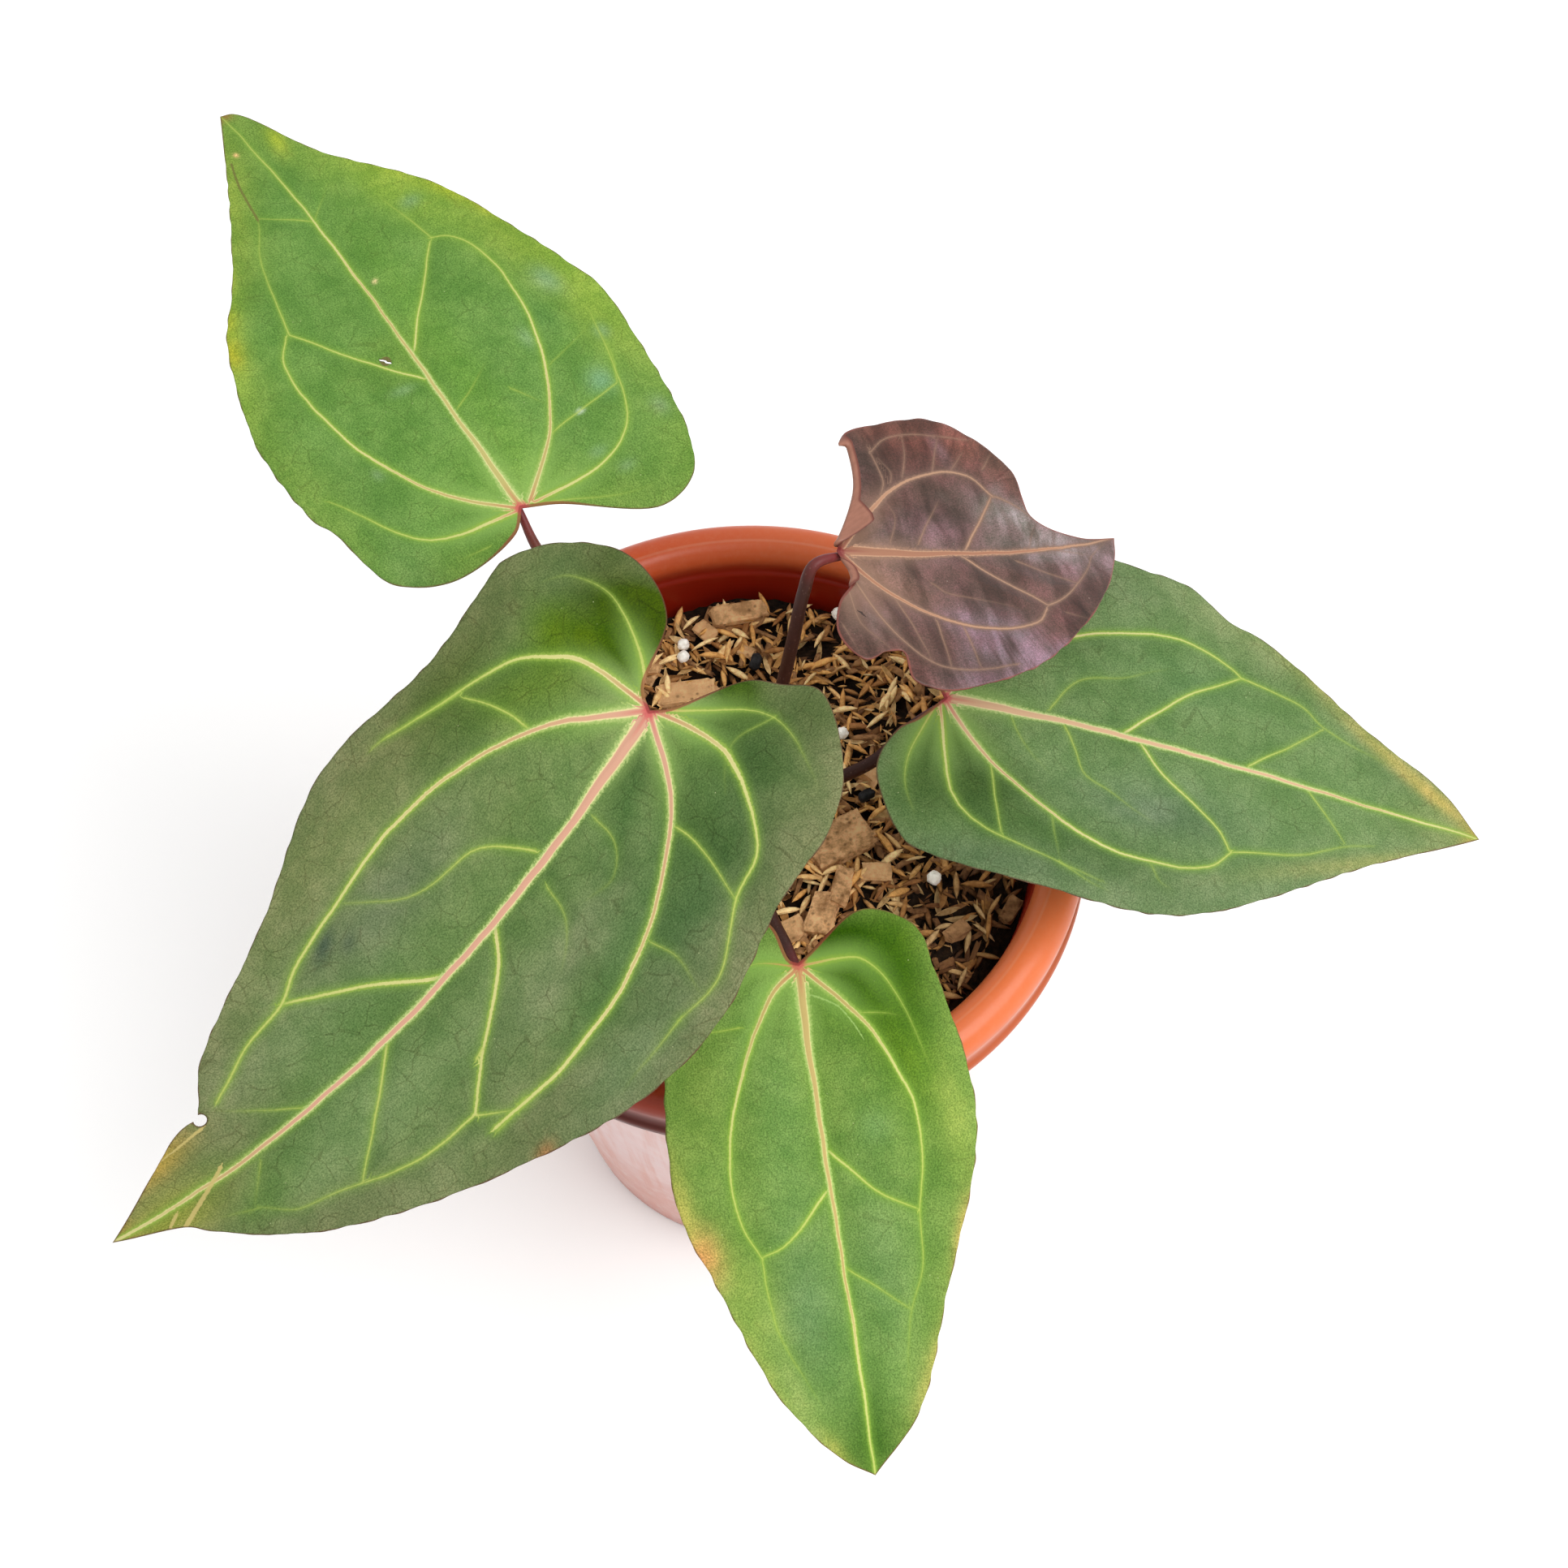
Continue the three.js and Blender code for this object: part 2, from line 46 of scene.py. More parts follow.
# How bright plain white shows under the studio lights, and in the shade of the leaves.
STUDIO_LIGHT = 1.55
SHADED_LIGHT = 0.64


def tint(red, green, blue, light=STUDIO_LIGHT):
    """A colour as it shows on a display in that much light, 0 to 255, turned into what the surface
    reflects."""
    value = np.array([red, green, blue]) / 255
    return np.where(value <= 0.04045, value / 12.92, ((value + 0.055) / 1.055) ** 2.4) / light


def shaded_tint(red, green, blue):
    """The same for a surface under the leaves."""
    return tint(red, green, blue, SHADED_LIGHT)


# Each leaf: where its blade joins its stalk, its heading from +X, the pitch and extra droop of its midrib and
# its roll, in degrees, then its midrib's sideways bow and sway. valley, arch and wave shape the section
# across the blade. left and right list the outline from the junction round each lobe to the tip, as distance
# along the midrib and distance from it, and turn is the number of the rearmost point of the lobe. A curl
# rolls the lobe's inner edge over: its flap's width is listed from the junction, 0, to the lobe, 1, and its
# horn pushes the end of the roll outwards. stalk lists the stalk's way from the stem up to the junction. main
# and fine list the veins in the same way as the outline, each with its strength at its two ends.
LEAVES = [
    dict(
        name="back_left", junction=(-60.5, 53, 262), heading=123.6, pitch=-5, droop=16, roll=0.8,
        length=172.5, half_width=62, bow=-1, sway=1.7, valley=0.2, valley_width=10, arch=9,
        wave=1.2, wave_length=70, wave_phase=0.4,
        left=dict(turn=2, points=[(0, 0), (-6, 5.5), (-10.5, 27.5), (-2.5, 42), (16.5, 46.5), (24, 49.5),
                                  (52.5, 51), (64, 49), (88.5, 41.5), (105, 31.5), (172.5, 0)]),
        right=dict(turn=2, points=[(0, 0), (-4, -8.5), (-20, -32), (-14, -46), (47.5, -55.5), (57.5, -52.5),
                                   (75, -47), (104.5, -36.5), (139, -15), (171, -3.5), (172.5, 0)]),
        stalk_radius=1.6, stalk_paler=0.5,
        stalk=[(-6, 4, 178), (-27, 19, 207), (-46, 37, 235), (-57.5, 47.5, 253)],
        main=[
            (0.75, 0.3, [(1, -3), (15, -18), (36, -29), (59, -34), (81, -32), (88, -28), (90, -24)]),
            (0.6, 0.15, [(0, -4), (-1, -23), (6, -37), (27, -45), (43, -48)]),
            (0.75, 0.35, [(0, 0), (13, 15), (37, 28), (72, 32), (81, 27)]),
            (0.6, 0.2, [(0, 1), (3, 26), (27, 43)]),
        ],
        fine=[
            (0.3, 0.05, [(-1, -5), (-12, -26), (-13, -32)]), (0.3, 0.25, [(15, -19), (19, -42)]),
            (0.5, 0.35, [(59, -1), (89, -23)]), (0.3, 0.0, [(90, -24), (120, -18)]),
            (0.5, 0.35, [(49, 1), (60, 10.5), (81, 26)]),
            (0.35, 0.05, [(81, 26), (112, 19), (125, 13), (140, 11)]), (0.3, 0.15, [(116, 0), (126, 13)]),
            (0.2, 0.0, [(-6, 14), (-6, 25)]), (0.15, 0.05, [(117, -1), (125, -9)]),
            (0.22, 0.05, [(36, -2), (44, -15)]), (0.2, 0.05, [(33, -17), (24, -22)]),
            (0.15, 0.05, [(34, -30), (39, -46)]), (0.25, 0.0, [(19, -42), (28, -46), (44, -48)]),
        ],
    ),
    dict(
        name="front_left", junction=(-24, -20.5, 282), heading=222.7, pitch=6, droop=20, roll=0,
        length=186, half_width=68, bow=16.1, sway=-1.9, valley=0.24, valley_width=12, arch=13,
        wave=1.4, wave_length=80, wave_phase=2,
        left=dict(turn=4, points=[(0, 0), (-3.5, 3), (-23, 11.5), (-28, 18.5), (-33.5, 26.5), (-23, 46.5),
                                  (-11, 55.5), (-1, 58.5), (13, 58), (43, 62), (68, 59.5), (93.5, 50.5),
                                  (145, 27.5), (165, 11), (169, 6.5), (186, 0)]),
        right=dict(turn=3, points=[(0, 0), (-3, -5.5), (-20, -15.5), (-25, -28), (-23, -40.5), (-6, -56.5),
                                   (32, -57.5), (71, -61.5), (105, -44.5), (140, -26.5), (148, -17.5),
                                   (157.5, -15), (186, 0)]),
        stalk_radius=2.1, stalk_paler=0.2,
        stalk=[(-5.5, -1, 180), (-11, -6.5, 207), (-16, -11.5, 235), (-21, -16.5, 266)],
        main=[
            (0.8, 0.3, [(0, 0), (25, -23), (61, -36), (105, -30), (115, -25), (129, -22), (143, -16)]),
            (0.7, 0.2, [(0, -2), (3, -22), (8, -30), (17, -39), (52, -53)]),
            (0.45, 0.05, [(-2, -4), (-8, -12), (-14, -30), (-10, -42), (-5, -45)]),
            (0.8, 0.45, [(1, 1), (12, 18), (40, 34), (69, 39), (98, 37)]),
            (0.7, 0.15, [(-1, 2), (-4, 12), (-5, 24), (6, 45), (19, 48), (35, 55), (49, 54)]),
            (0.4, 0.0, [(-2, 2), (-20, 24), (-16, 43), (-12, 49)]),
        ],
        fine=[
            (0.35, 0.1, [(45, -3), (54, -15), (71, -19), (78, -23), (87, -32)]),
            (0.55, 0.4, [(83, -1), (101, -16), (115, -25)]), (0.25, 0.05, [(127, 0), (144, -14)]),
            (0.55, 0.45, [(65, 1), (71, 9), (89, 22), (99, 31)]),
            (0.4, 0.1, [(99, 31), (117, 29), (136, 22), (146, 19), (152, 13)]),
            (0.35, 0.1, [(99, 31), (89, 39)]), (0.4, 0.25, [(103, 1), (129, 24)]),
            (0.3, 0.2, [(17, 24), (16, 31), (19, 48)]), (0.35, 0.25, [(25, -24), (26, -31), (31, -43)]),
            (0.2, 0.05, [(29, 4), (30, 13), (36, 18), (44, 16)]), (0.2, 0.0, [(49, 54), (65, 54), (74, 55)]),
            (0.2, 0.05, [(49, 5), (51, 14), (57, 20), (60, 22)]),
            (0.2, 0.05, [(41, 36), (39, 44), (41, 53)]), (0.15, 0.05, [(145, 3), (154, 13)]),
            (0.15, 0.0, [(152, 13), (166, 7)]), (0.3, 0.15, [(31, -45), (49, -52), (56, -54)]),
            (0.4, 0.3, [(86, 20), (90, 21)]), (0.45, 0.2, [(88, 37.5), (98, 38)]),
            (0.15, 0.05, [(-20, 24), (-8, 22), (2, 30)]),
        ],
    ),
    dict(
        name="young", junction=(23, 30.5, 276), heading=21, pitch=18, droop=15, roll=5.4,
        length=92, half_width=42, bow=-5.1, sway=0.5, valley=0.22, valley_width=7, arch=5,
        wave=0.8, wave_length=40, wave_phase=0.5,
        left=dict(turn=3, points=[(0, 0), (11, 19), (13, 31.5), (13, 35), (36.5, 41.5), (49, 37), (62, 24.5),
                                  (63.5, 10.5), (78, 2.5), (92, 0)],
                  curl=dict(radius=0.9, horn=4.0, flap=[(0.04, 0), (0.2, 7.4), (0.26, 6.4), (0.42, 1.7),
                                                        (0.6, 1.1), (0.9, 0.8), (1, 0.05)])),
        right=dict(turn=3, points=[(0, 0), (1, -9), (-6, -16), (-10, -25.5), (-6, -34), (5.5, -32),
                                   (5.5, -40.5), (13, -43), (42, -37.5), (77, -17.5), (89, -5.5), (92, 0)],
                   curl=dict(radius=0.6, horn=0.0, flap=[(0.08, 0), (0.2, 1.3), (0.34, 1.3), (0.42, 0)])),
        stalk_radius=1.85, stalk_paler=0.0,
        stalk=[(-1, 3.5, 184), (4, 10, 205), (9, 17.5, 230), (12, 19.8, 251), (14.5, 22.9, 268),
               (17.2, 26.5, 275.5)],
        main=[
            (0.7, 0.4, [(2, 1), (14, 13), (30, 23), (46, 23), (52, 17)]),
            (0.75, 0.4, [(1, -1), (10, -14), (29, -24), (50, -23), (55, -19)]),
            (0.35, 0.2, [(1, -8), (4, -23), (12, -34), (23, -37), (37, -36)]),
            (0.25, 0.1, [(-2, -13), (-3, -23), (2, -31)]),
        ],
        fine=[
            (0.5, 0.4, [(37, 0), (52, 17)]), (0.25, 0.15, [(19, 30), (24, 34), (31, 36), (50, 34)]),
            (0.3, 0.2, [(18, 17), (20, 21), (19, 31)]), (0.3, 0.1, [(24, 3), (34, 15)]),
            (0.15, 0.05, [(59, 1), (64, 8)]), (0.5, 0.4, [(36, -1), (47, -11), (56, -18)]),
            (0.25, 0.15, [(53, -3), (69, -12)]),
            (0.4, 0.1, [(56, -18), (63, -16), (76, -8), (80, -4), (87, -1)]),
            (0.3, 0.1, [(10, -15), (13, -34)]), (0.3, 0.15, [(19, -22), (18, -36)]),
            (0.3, 0.15, [(26, -24), (26, -36)]), (0.2, 0.05, [(23, -10), (26, -13), (38, -16), (47, -19)]),
            (0.25, 0.1, [(26, 23), (29, 29), (31, 36)]), (0.25, 0.1, [(36, 25), (41, 35)]),
            (0.2, 0.1, [(41, 24), (47, 30)]), (0.2, 0.1, [(22, 21), (23, 24), (21, 28)]),
            (0.2, 0.1, [(52, 25), (56, 29)]), (0.2, 0.1, [(16, 3), (20, 11), (19, 14)]),
            (0.2, 0.05, [(-8, -23), (-7, -32)]), (0.35, 0.1, [(52, 17), (60, 13), (64, 9)]),
            (0.25, 0.05, [(66, 0), (80, -4)]), (0.15, 0.05, [(61, -21), (68, -24)]),
        ],
    ),
    dict(
        name="front", junction=(13, -65, 229), heading=-80.9, pitch=10, droop=20, roll=0.1,
        length=131, half_width=45, bow=-0.7, sway=-0.9, valley=0.18, valley_width=8, arch=6,
        wave=1, wave_length=60, wave_phase=1,
        left=dict(turn=1, points=[(0, 0), (-11.5, 18.5), (-5, 31.5), (5.5, 34.5), (45, 40), (89.5, 24.5),
                                  (116.5, 13.5), (131, 0)]),
        right=dict(turn=3, points=[(0, 0), (-1, -2), (-11, -5.5), (-15.5, -15.5), (-1, -31), (55.5, -39.5),
                                   (78.5, -32.5), (109.5, -20.5), (125.5, -8), (131, 0)]),
        stalk_radius=1.7, stalk_paler=0.05,
        stalk=[(-1.5, -2.5, 184), (1, -18, 195), (6.5, -44, 211), (10.5, -57.5, 221)],
        main=[
            (0.75, 0.3, [(2, 1), (18, 15), (39, 24), (56, 24), (67, 21)]),
            (0.45, 0.05, [(1, 1), (1, 15), (5, 20), (15, 25), (28, 29), (34, 30)]),
            (0.75, 0.3, [(2, -1), (8, -8), (42, -23), (63, -24), (73, -20)]),
            (0.35, 0.0, [(1, -1), (-1, -12), (3, -19)]),
        ],
        fine=[
            (0.3, 0.05, [(67, 21), (80, 20), (92, 15), (110, 11)]),
            (0.5, 0.3, [(49, 1), (62, 13), (67, 21)]), (0.3, 0.15, [(78, 0), (91, 15)]),
            (0.3, 0.05, [(15, 12), (17, 21), (18, 24)]), (0.3, 0.05, [(73, -20), (91, -19), (112, -11)]),
            (0.5, 0.3, [(59, -1), (71, -14), (73, -20)]), (0.25, 0.05, [(15, -17), (16, -29), (24, -33)]),
        ],
    ),
    dict(
        name="right", junction=(52.5, 12, 232), heading=-7.1, pitch=7, droop=20, roll=1,
        length=160.5, half_width=52, bow=-1.7, sway=1.8, valley=0.2, valley_width=9, arch=8,
        wave=1.2, wave_length=64, wave_phase=3,
        left=dict(turn=1, points=[(0, 0), (-10, 17), (-4.5, 34.5), (23.5, 54.5), (50.5, 52.5), (66, 51.5),
                                  (77.5, 44.5), (86.5, 42), (119, 23.5), (147.5, 11), (160.5, 0)]),
        right=dict(turn=3, points=[(0, 0), (-6.5, -7.5), (-11.5, -12), (-16, -25), (-7.5, -43.5), (-2, -46.5),
                                   (32.5, -51), (64, -50), (81.5, -44.5), (125.5, -18), (160.5, 0)]),
        stalk_radius=1.8, stalk_paler=0.0,
        stalk=[(1, 1.5, 184), (13, 2.5, 193), (26, 3.6, 203.5), (34.8, 4.8, 211), (45.5, 9.5, 223)],
        main=[
            (0.75, 0.35, [(0, 0), (8, 12), (36, 27), (64, 33), (79, 29), (82, 27)]),
            (0.8, 0.35, [(0, 0), (14, -17), (46, -35), (76, -33), (82, -27)]),
            (0.6, 0.1, [(-1, -1), (7, -32), (35, -43), (47, -45)]),
            (0.4, 0.05, [(-2, -3), (-8, -20), (-8, -29), (-5, -36)]),
        ],
        fine=[
            (0.35, 0.05, [(82, 27), (101, 23), (107, 19), (128, 14)]),
            (0.55, 0.35, [(50, 1), (66, 16), (82, 27)]), (0.4, 0.2, [(86, 1), (107, 18)]),
            (0.25, 0.05, [(29, 3), (36, 13), (48, 17), (60, 23)]),
            (0.5, 0.35, [(55, -1), (62, -9), (78, -21), (82, -27)]),
            (0.35, 0.1, [(82, -27), (105, -21), (116, -15), (125, -12)]),
            (0.3, 0.15, [(104, 0), (116, -14)]),
            (0.3, 0.05, [(33, -1), (37, -8), (40, -15), (48, -19), (59, -24)]),
            (0.3, 0.25, [(14, -17), (16, -27), (19, -38)]),
            (0.2, 0.0, [(18, 0), (23, -10), (29, -16), (33, -19)]), (0.15, 0.05, [(32, -31), (35, -42)]),
            (0.15, 0.05, [(60, -37), (63, -41), (66, -42)]), (0.2, 0.05, [(35, -43), (43, -46), (49, -47)]),
        ],
    ),
]

# The skin of the green leaves and of the young bronze one. glow, lime and fringe lie beside the veins. thin
# and cream are weak and strong veins, and line is the middle of a strong one. near_hub and hub_width widen
# the veins at the junction, which is crimson, and hub_rim is the margin there. deep is the clouds' darkest
# tone. The two fold tints are painted shade and painted light on the two sides of each fine vein, as if lit
# from one side.
GREEN_SKIN = dict(
    glow=tint(122, 164, 60), lime=tint(144, 178, 70), fringe=tint(180, 206, 122), thin=tint(182, 200, 98),
    cream=tint(222, 218, 150), line=tint(178, 156, 92), near_hub=tint(140, 182, 90), hub_width=1.45,
    crimson=tint(200, 100, 92), hub_rim=tint(142, 62, 56), rim_reach=0.3, deep=0.9, speck=tint(198, 212, 150),
    painted_fold_shade=(0.74, 0.82, 0.76, 1), painted_fold_light=(1.14, 1.1, 1.14, 1), rough=(0.5, 0.6), gloss=0.05,
    under=tint(150, 172, 120), under_vein=tint(190, 200, 140))
BRONZE_SKIN = dict(
    glow=tint(116, 92, 80), lime=tint(134, 106, 88), fringe=tint(152, 120, 98), thin=tint(158, 128, 104),
    cream=tint(196, 156, 124), line=tint(168, 122, 92), near_hub=tint(152, 120, 98), hub_width=1.7,
    crimson=tint(134, 52, 54), hub_rim=tint(118, 42, 40), rim_reach=0.42, deep=0.8, speck=tint(206, 190, 176),
    painted_fold_shade=(0.5, 0.42, 0.42, 1), painted_fold_light=(1.45, 1.5, 1.6, 1), rough=(0.38, 0.48), gloss=0.3,
    under=tint(158, 110, 90), under_vein=tint(176, 126, 102), under_rim=tint(112, 62, 50))

# The look of each leaf: its ground colour, the tint of its outer zone, partly painted sheen, with that zone's
# reach and amount, the size of its veins, the strength of its midrib at its two ends, the colour of its ribs,
# how dark its net is, the colours of its margin line and of its scars, and a gain that brings it to the
# brightness of its neighbours and is partly painted light and shade for the light on its slope. washes are
# soft patches of other colours, some the leaf's own and some painted sheen and painted shade (place, reach
# along and across, turn in degrees, colour and amount), holes are small tears with place, reaches and turn,
# and scars are listed as veins are.
LOOKS = {
    "back_left": dict(
        ground=tint(104, 148, 68), outer=tint(126, 158, 64), outer_reach=16, outer_amount=0.45,
        vein=0.56, midrib=(1.0, 0.24), rib=tint(180, 174, 100), net=0.5,
        rim=tint(112, 92, 60), scar=tint(110, 112, 56), gain=(1.22, 1.15, 1.24, 1),
        washes=[
            (30, -18, 40, 16, 0, (100, 144, 70), 0.5), (70, 14, 34, 10, 0, (94, 138, 62), 0.7),
            (20, 34, 26, 10, 0, (100, 140, 68), 0.6), (8, -44, 16, 12, 0, (118, 156, 74), 0.5),
            (10, 0, 14, 14, 0, (122, 166, 72), 0.5), (84, 42.5, 5.5, 2.8, -10, (208, 184, 40), 1.0),
            (95, 38.5, 5.5, 2.6, -20, (204, 190, 44), 1.0), (109, 31.5, 7, 2.2, -28, (184, 180, 54), 0.8),
            (152, -7.5, 7, 2.5, -10, (170, 190, 58), 0.8), (91, -43, 8, 2.6, 18, (190, 194, 50), 0.9),
            (104, -36.5, 8, 3, 22, (178, 192, 50), 0.9), (122, -26, 16, 3, 24, (160, 184, 56), 0.75),
            (-6, 36, 12, 8, 0, (102, 140, 74), 0.7), (-14, -30, 10, 10, 0, (118, 152, 70), 0.6),
            (66, -46, 44, 9, 8, (138, 168, 54), 0.5), (112, -24, 30, 8, 22, (136, 172, 60), 0.7),
            (2, 13, 10, 7, 0, (80, 124, 50), 0.6), (50, -8, 60, 7, 0, (104, 154, 52), 0.4),
            (100, 36, 40, 4.5, -20, (142, 176, 60), 0.7), (140, 14, 30, 5, -22, (142, 168, 58), 0.5),
            (60, -51, 30, 5, 10, (134, 172, 62), 0.5), (58, -43, 5.5, 3.2, 10, (128, 166, 112), 0.9),
            (44.5, -28.6, 3.5, 2, 0, (128, 168, 108), 0.8), (21.4, -38.4, 4.2, 3.6, 0, (122, 168, 118), 1.0),
            (35.8, -47.3, 2.5, 2, 0, (134, 168, 114), 0.9), (6.4, -48, 3.5, 2.5, 0, (126, 160, 108), 0.7),
            (104.8, -25.7, 2.5, 3, 0, (124, 164, 108), 0.7), (48.3, 8.4, 1.6, 3.4, 0, (134, 172, 112), 0.8),
            (27.4, 27.9, 2, 1.4, 0, (130, 164, 110), 0.7), (3, -26, 1.6, 2.2, 0, (130, 168, 112), 0.8),
            (-4.9, -30, 1.8, 2.4, 0, (130, 166, 110), 0.7), (86, -3.5, 0.7, 0.7, 0, (226, 214, 150), 1.0),
            (153.4, 5.1, 0.9, 0.7, 0, (232, 196, 130), 1.0),
            (16.4, -28.7, 0.7, 1.1, 0, (226, 240, 228), 1.0), (48, -36, 9, 5, 20, (84, 134, 66), 0.5),
            (120, -14, 9, 4, 0, (108, 152, 68), 0.5), (172, 0, 3, 3, 0, (146, 92, 58), 0.9),
        ],
        holes=[(60, 7.4, 2.2, 0.45, 40)], scars=[(0.5, 0.4, [(125, 13), (140, 11), (151, 8)])],
    ),
    "front_left": dict(
        ground=tint(96, 128, 68), outer=tint(120, 128, 86), outer_reach=26, outer_amount=0.75,
        vein=0.8, midrib=(1.3, 0.52), rib=tint(206, 154, 128), net=0.7,
        rim=tint(96, 62, 48), scar=tint(196, 186, 110), gain=(1.22, 1.11, 1.26, 1),
        washes=[
            (30, -56, 60, 12, 6, (116, 130, 80), 0.7), (92, -48, 46, 13, -14, (122, 138, 84), 0.8),
            (120, -32, 40, 10, -24, (118, 136, 84), 0.6), (70, 56, 60, 10, 12, (118, 130, 90), 0.8),
            (20, 54, 26, 9, 0, (112, 124, 82), 0.7), (120, 36, 44, 9, 22, (114, 134, 84), 0.7),
            (50, -20, 26, 10, -8, (112, 136, 76), 0.6), (80, 14, 34, 9, 0, (104, 132, 78), 0.6),
            (100, -12, 26, 9, 8, (92, 130, 70), 0.5), (120, 10, 24, 10, 0, (106, 142, 80), 0.6),
            (45, 30, 30, 6, 16, (72, 110, 56), 0.75), (10, 40, 12, 12, 20, (82, 108, 60), 0.7),
            (-6, 20, 12, 10, 40, (92, 132, 62), 0.6), (20, -31, 22, 8, -36, (98, 130, 44), 0.8),
            (-2, 14, 9, 7, 0, (104, 148, 60), 0.6), (3, -33, 9, 10, -40, (84, 118, 10), 0.9),
            (-16, -20, 10, 17, 20, (58, 84, 2), 1.6), (-6, -18, 5, 10, 0, (60, 92, 0), 1.4),
            (-8, -44, 9, 6, 0, (96, 120, 70), 0.7), (-1, -25, 4, 6, 0, (78, 108, 8), 1.2),
            (-18, 13, 12, 8, 55, (56, 86, 12), 1.2), (-8, 28, 14, 13, 0, (62, 92, 44), 0.9),
            (30, 40, 24, 9, 10, (58, 96, 50), 0.7), (56, 22, 26, 8, 8, (122, 138, 96), 0.7),
            (122, 13, 26, 9, 0, (118, 146, 90), 0.7), (30, -50, 26, 9, 0, (66, 90, 32), 0.7),
            (40, -38, 14, 6, 0, (70, 98, 44), 0.6), (78, -24, 26, 9, 0, (114, 126, 98), 0.6),
            (64, 51, 24, 7, 0, (92, 124, 76), 0.6), (126, -17, 22, 8, 0, (116, 140, 90), 0.6),
            (12, 24, 5, 16, 0, (62, 96, 40), 0.6), (22, 10, 22, 4, 24, (66, 106, 50), 0.6),
            (-30, 28, 10, 10, 0, (78, 100, 52), 0.8), (-22, -38, 8, 8, 0, (70, 92, 40), 0.7),
            (16, -14, 14, 5, -45, (108, 150, 66), 0.5), (98, -28, 5, 2.5, 30, (66, 88, 66), 0.9),
            (93, -24, 3, 2, 30, (76, 96, 70), 0.7), (166, 0, 14, 8, 0, (122, 144, 66), 0.6),
            (166, -12, 11, 4, 8, (196, 168, 76), 0.9), (184, 0, 5, 5, 0, (156, 108, 56), 0.9),
            (172, 3, 14, 7, 0, (142, 154, 58), 0.8), (150, 12, 12, 6, 20, (84, 128, 52), 0.6),
            (93, 50, 3, 2, 0, (160, 116, 70), 0.7),
        ],
        holes=[(149, -15, 1.7, 1.5, 0)],
        scars=[(0.7, 0.9, [(153, -2), (161, 2), (169, 6)]), (0.5, 0.6, [(169, 2), (172, 4)]),
               (0.6, 0.1, [(150, -13), (163, -12)])],
    ),
    "young": dict(
        ground=tint(94, 68, 60), outer=tint(108, 72, 60), outer_reach=12, outer_amount=0.5,
        vein=0.6, midrib=(1.25, 0.4), rib=tint(158, 110, 84), net=0.1,
        rim=tint(140, 76, 64), scar=tint(40, 26, 24), gain=(1.2, 1.12, 1.12, 1),
        washes=[
            (38, 34, 34, 6, -6, (124, 76, 60), 0.9), (14, 27, 5, 10, 0, (112, 94, 88), 0.8),
            (27, 32, 8, 4, 0, (92, 52, 40), 0.8), (40, 31, 2, 5, 10, (150, 124, 128), 0.8),
            (60, 20, 10, 8, 0, (104, 66, 52), 0.8), (44, 14, 14, 7, 0, (98, 80, 74), 0.6),
            (57, 10, 10, 5, -20, (160, 152, 150), 0.8), (50, 15, 2, 6, -50, (150, 142, 136), 0.7),
            (70, 0, 18, 5, -6, (164, 158, 156), 0.9), (84, -6, 10, 5, 0, (134, 120, 120), 0.8),
            (31, 9, 8, 6, 0, (66, 46, 42), 0.8), (31, 28, 14, 7, 0, (86, 50, 42), 0.7),
            (0, -8, 8, 5, 0, (150, 128, 106), 0.8), (16, 1, 20, 5, 0, (122, 104, 98), 0.7),
            (24, 7, 18, 4, 0, (128, 102, 104), 0.7), (8, 7, 10, 4, 50, (140, 108, 92), 0.6),
            (10, -6, 16, 5, -30, (122, 98, 82), 0.8), (32, -12, 16, 4, -18, (82, 62, 56), 0.7),
            (35, -25, 12, 5, -14, (142, 124, 134), 0.9), (62, -9, 12, 4, -20, (100, 82, 78), 0.6),
            (36, -33, 12, 4.5, 0, (144, 124, 136), 0.9), (18, -31, 2.5, 8, 0, (78, 48, 40), 0.8),
            (37, -31, 2.5, 6, -10, (86, 58, 54), 0.7), (2, -22, 8, 7, 0, (108, 92, 90), 0.7),
            (50, -34, 12, 3, 20, (138, 118, 130), 0.7), (66, -21, 16, 4, 26, (92, 64, 60), 0.8),
            (14, -37, 8, 4, 0, (92, 60, 52), 0.7), (28, -40, 12, 4, 0, (132, 110, 120), 0.8),
            (76, -8, 10, 3, 0, (124, 104, 104), 0.6),
        ],
        holes=[], scars=[(0.5, 0.3, [(-1.5, -20), (-1, -21)])],
    ),
    "front": dict(
        ground=tint(110, 146, 70), outer=tint(134, 164, 80), outer_reach=12, outer_amount=0.5,
        vein=0.6, midrib=(1.1, 0.4), rib=tint(194, 168, 108), net=0.4,
        rim=tint(116, 84, 60), scar=tint(160, 196, 112), gain=(1.31, 1.27, 1.21, 1),
        washes=[
            (-1, 13, 9, 11, 0, (46, 82, 0), 1.5), (16, 16, 11, 8, 30, (62, 104, 10), 1.0),
            (26, 25, 20, 8, 10, (96, 134, 34), 0.9), (14, 7, 6, 4, 40, (112, 152, 62), 0.5),
            (-2, 26, 8, 6, 0, (88, 124, 30), 0.8), (30, 0, 20, 6, 0, (118, 152, 66), 0.5),
            (60, 8, 26, 8, 0, (120, 154, 78), 0.5), (100, 0, 24, 12, 0, (108, 148, 72), 0.6),
            (40, -10, 26, 8, 0, (110, 150, 82), 0.6), (26, -28, 30, 9, 6, (116, 148, 68), 0.7),
            (71, -35, 7, 5, 10, (222, 170, 106), 1.0), (60, -38, 14, 3, 6, (186, 182, 92), 0.7),
            (78, 32, 11, 3, -15, (216, 176, 104), 1.0), (103, 21, 18, 3, -28, (188, 178, 96), 0.8),
            (100, -26, 26, 3, 24, (168, 182, 92), 0.7), (124, -9, 7, 2.5, 30, (180, 184, 88), 0.7),
            (84, -22, 16, 7, 12, (152, 178, 84), 0.6), (45, 34, 14, 4, 0, (148, 172, 80), 0.6),
            (6, 23, 15, 10, 20, (58, 98, 8), 1.1), (71, -35.5, 3, 2.5, 0, (220, 156, 100), 0.8),
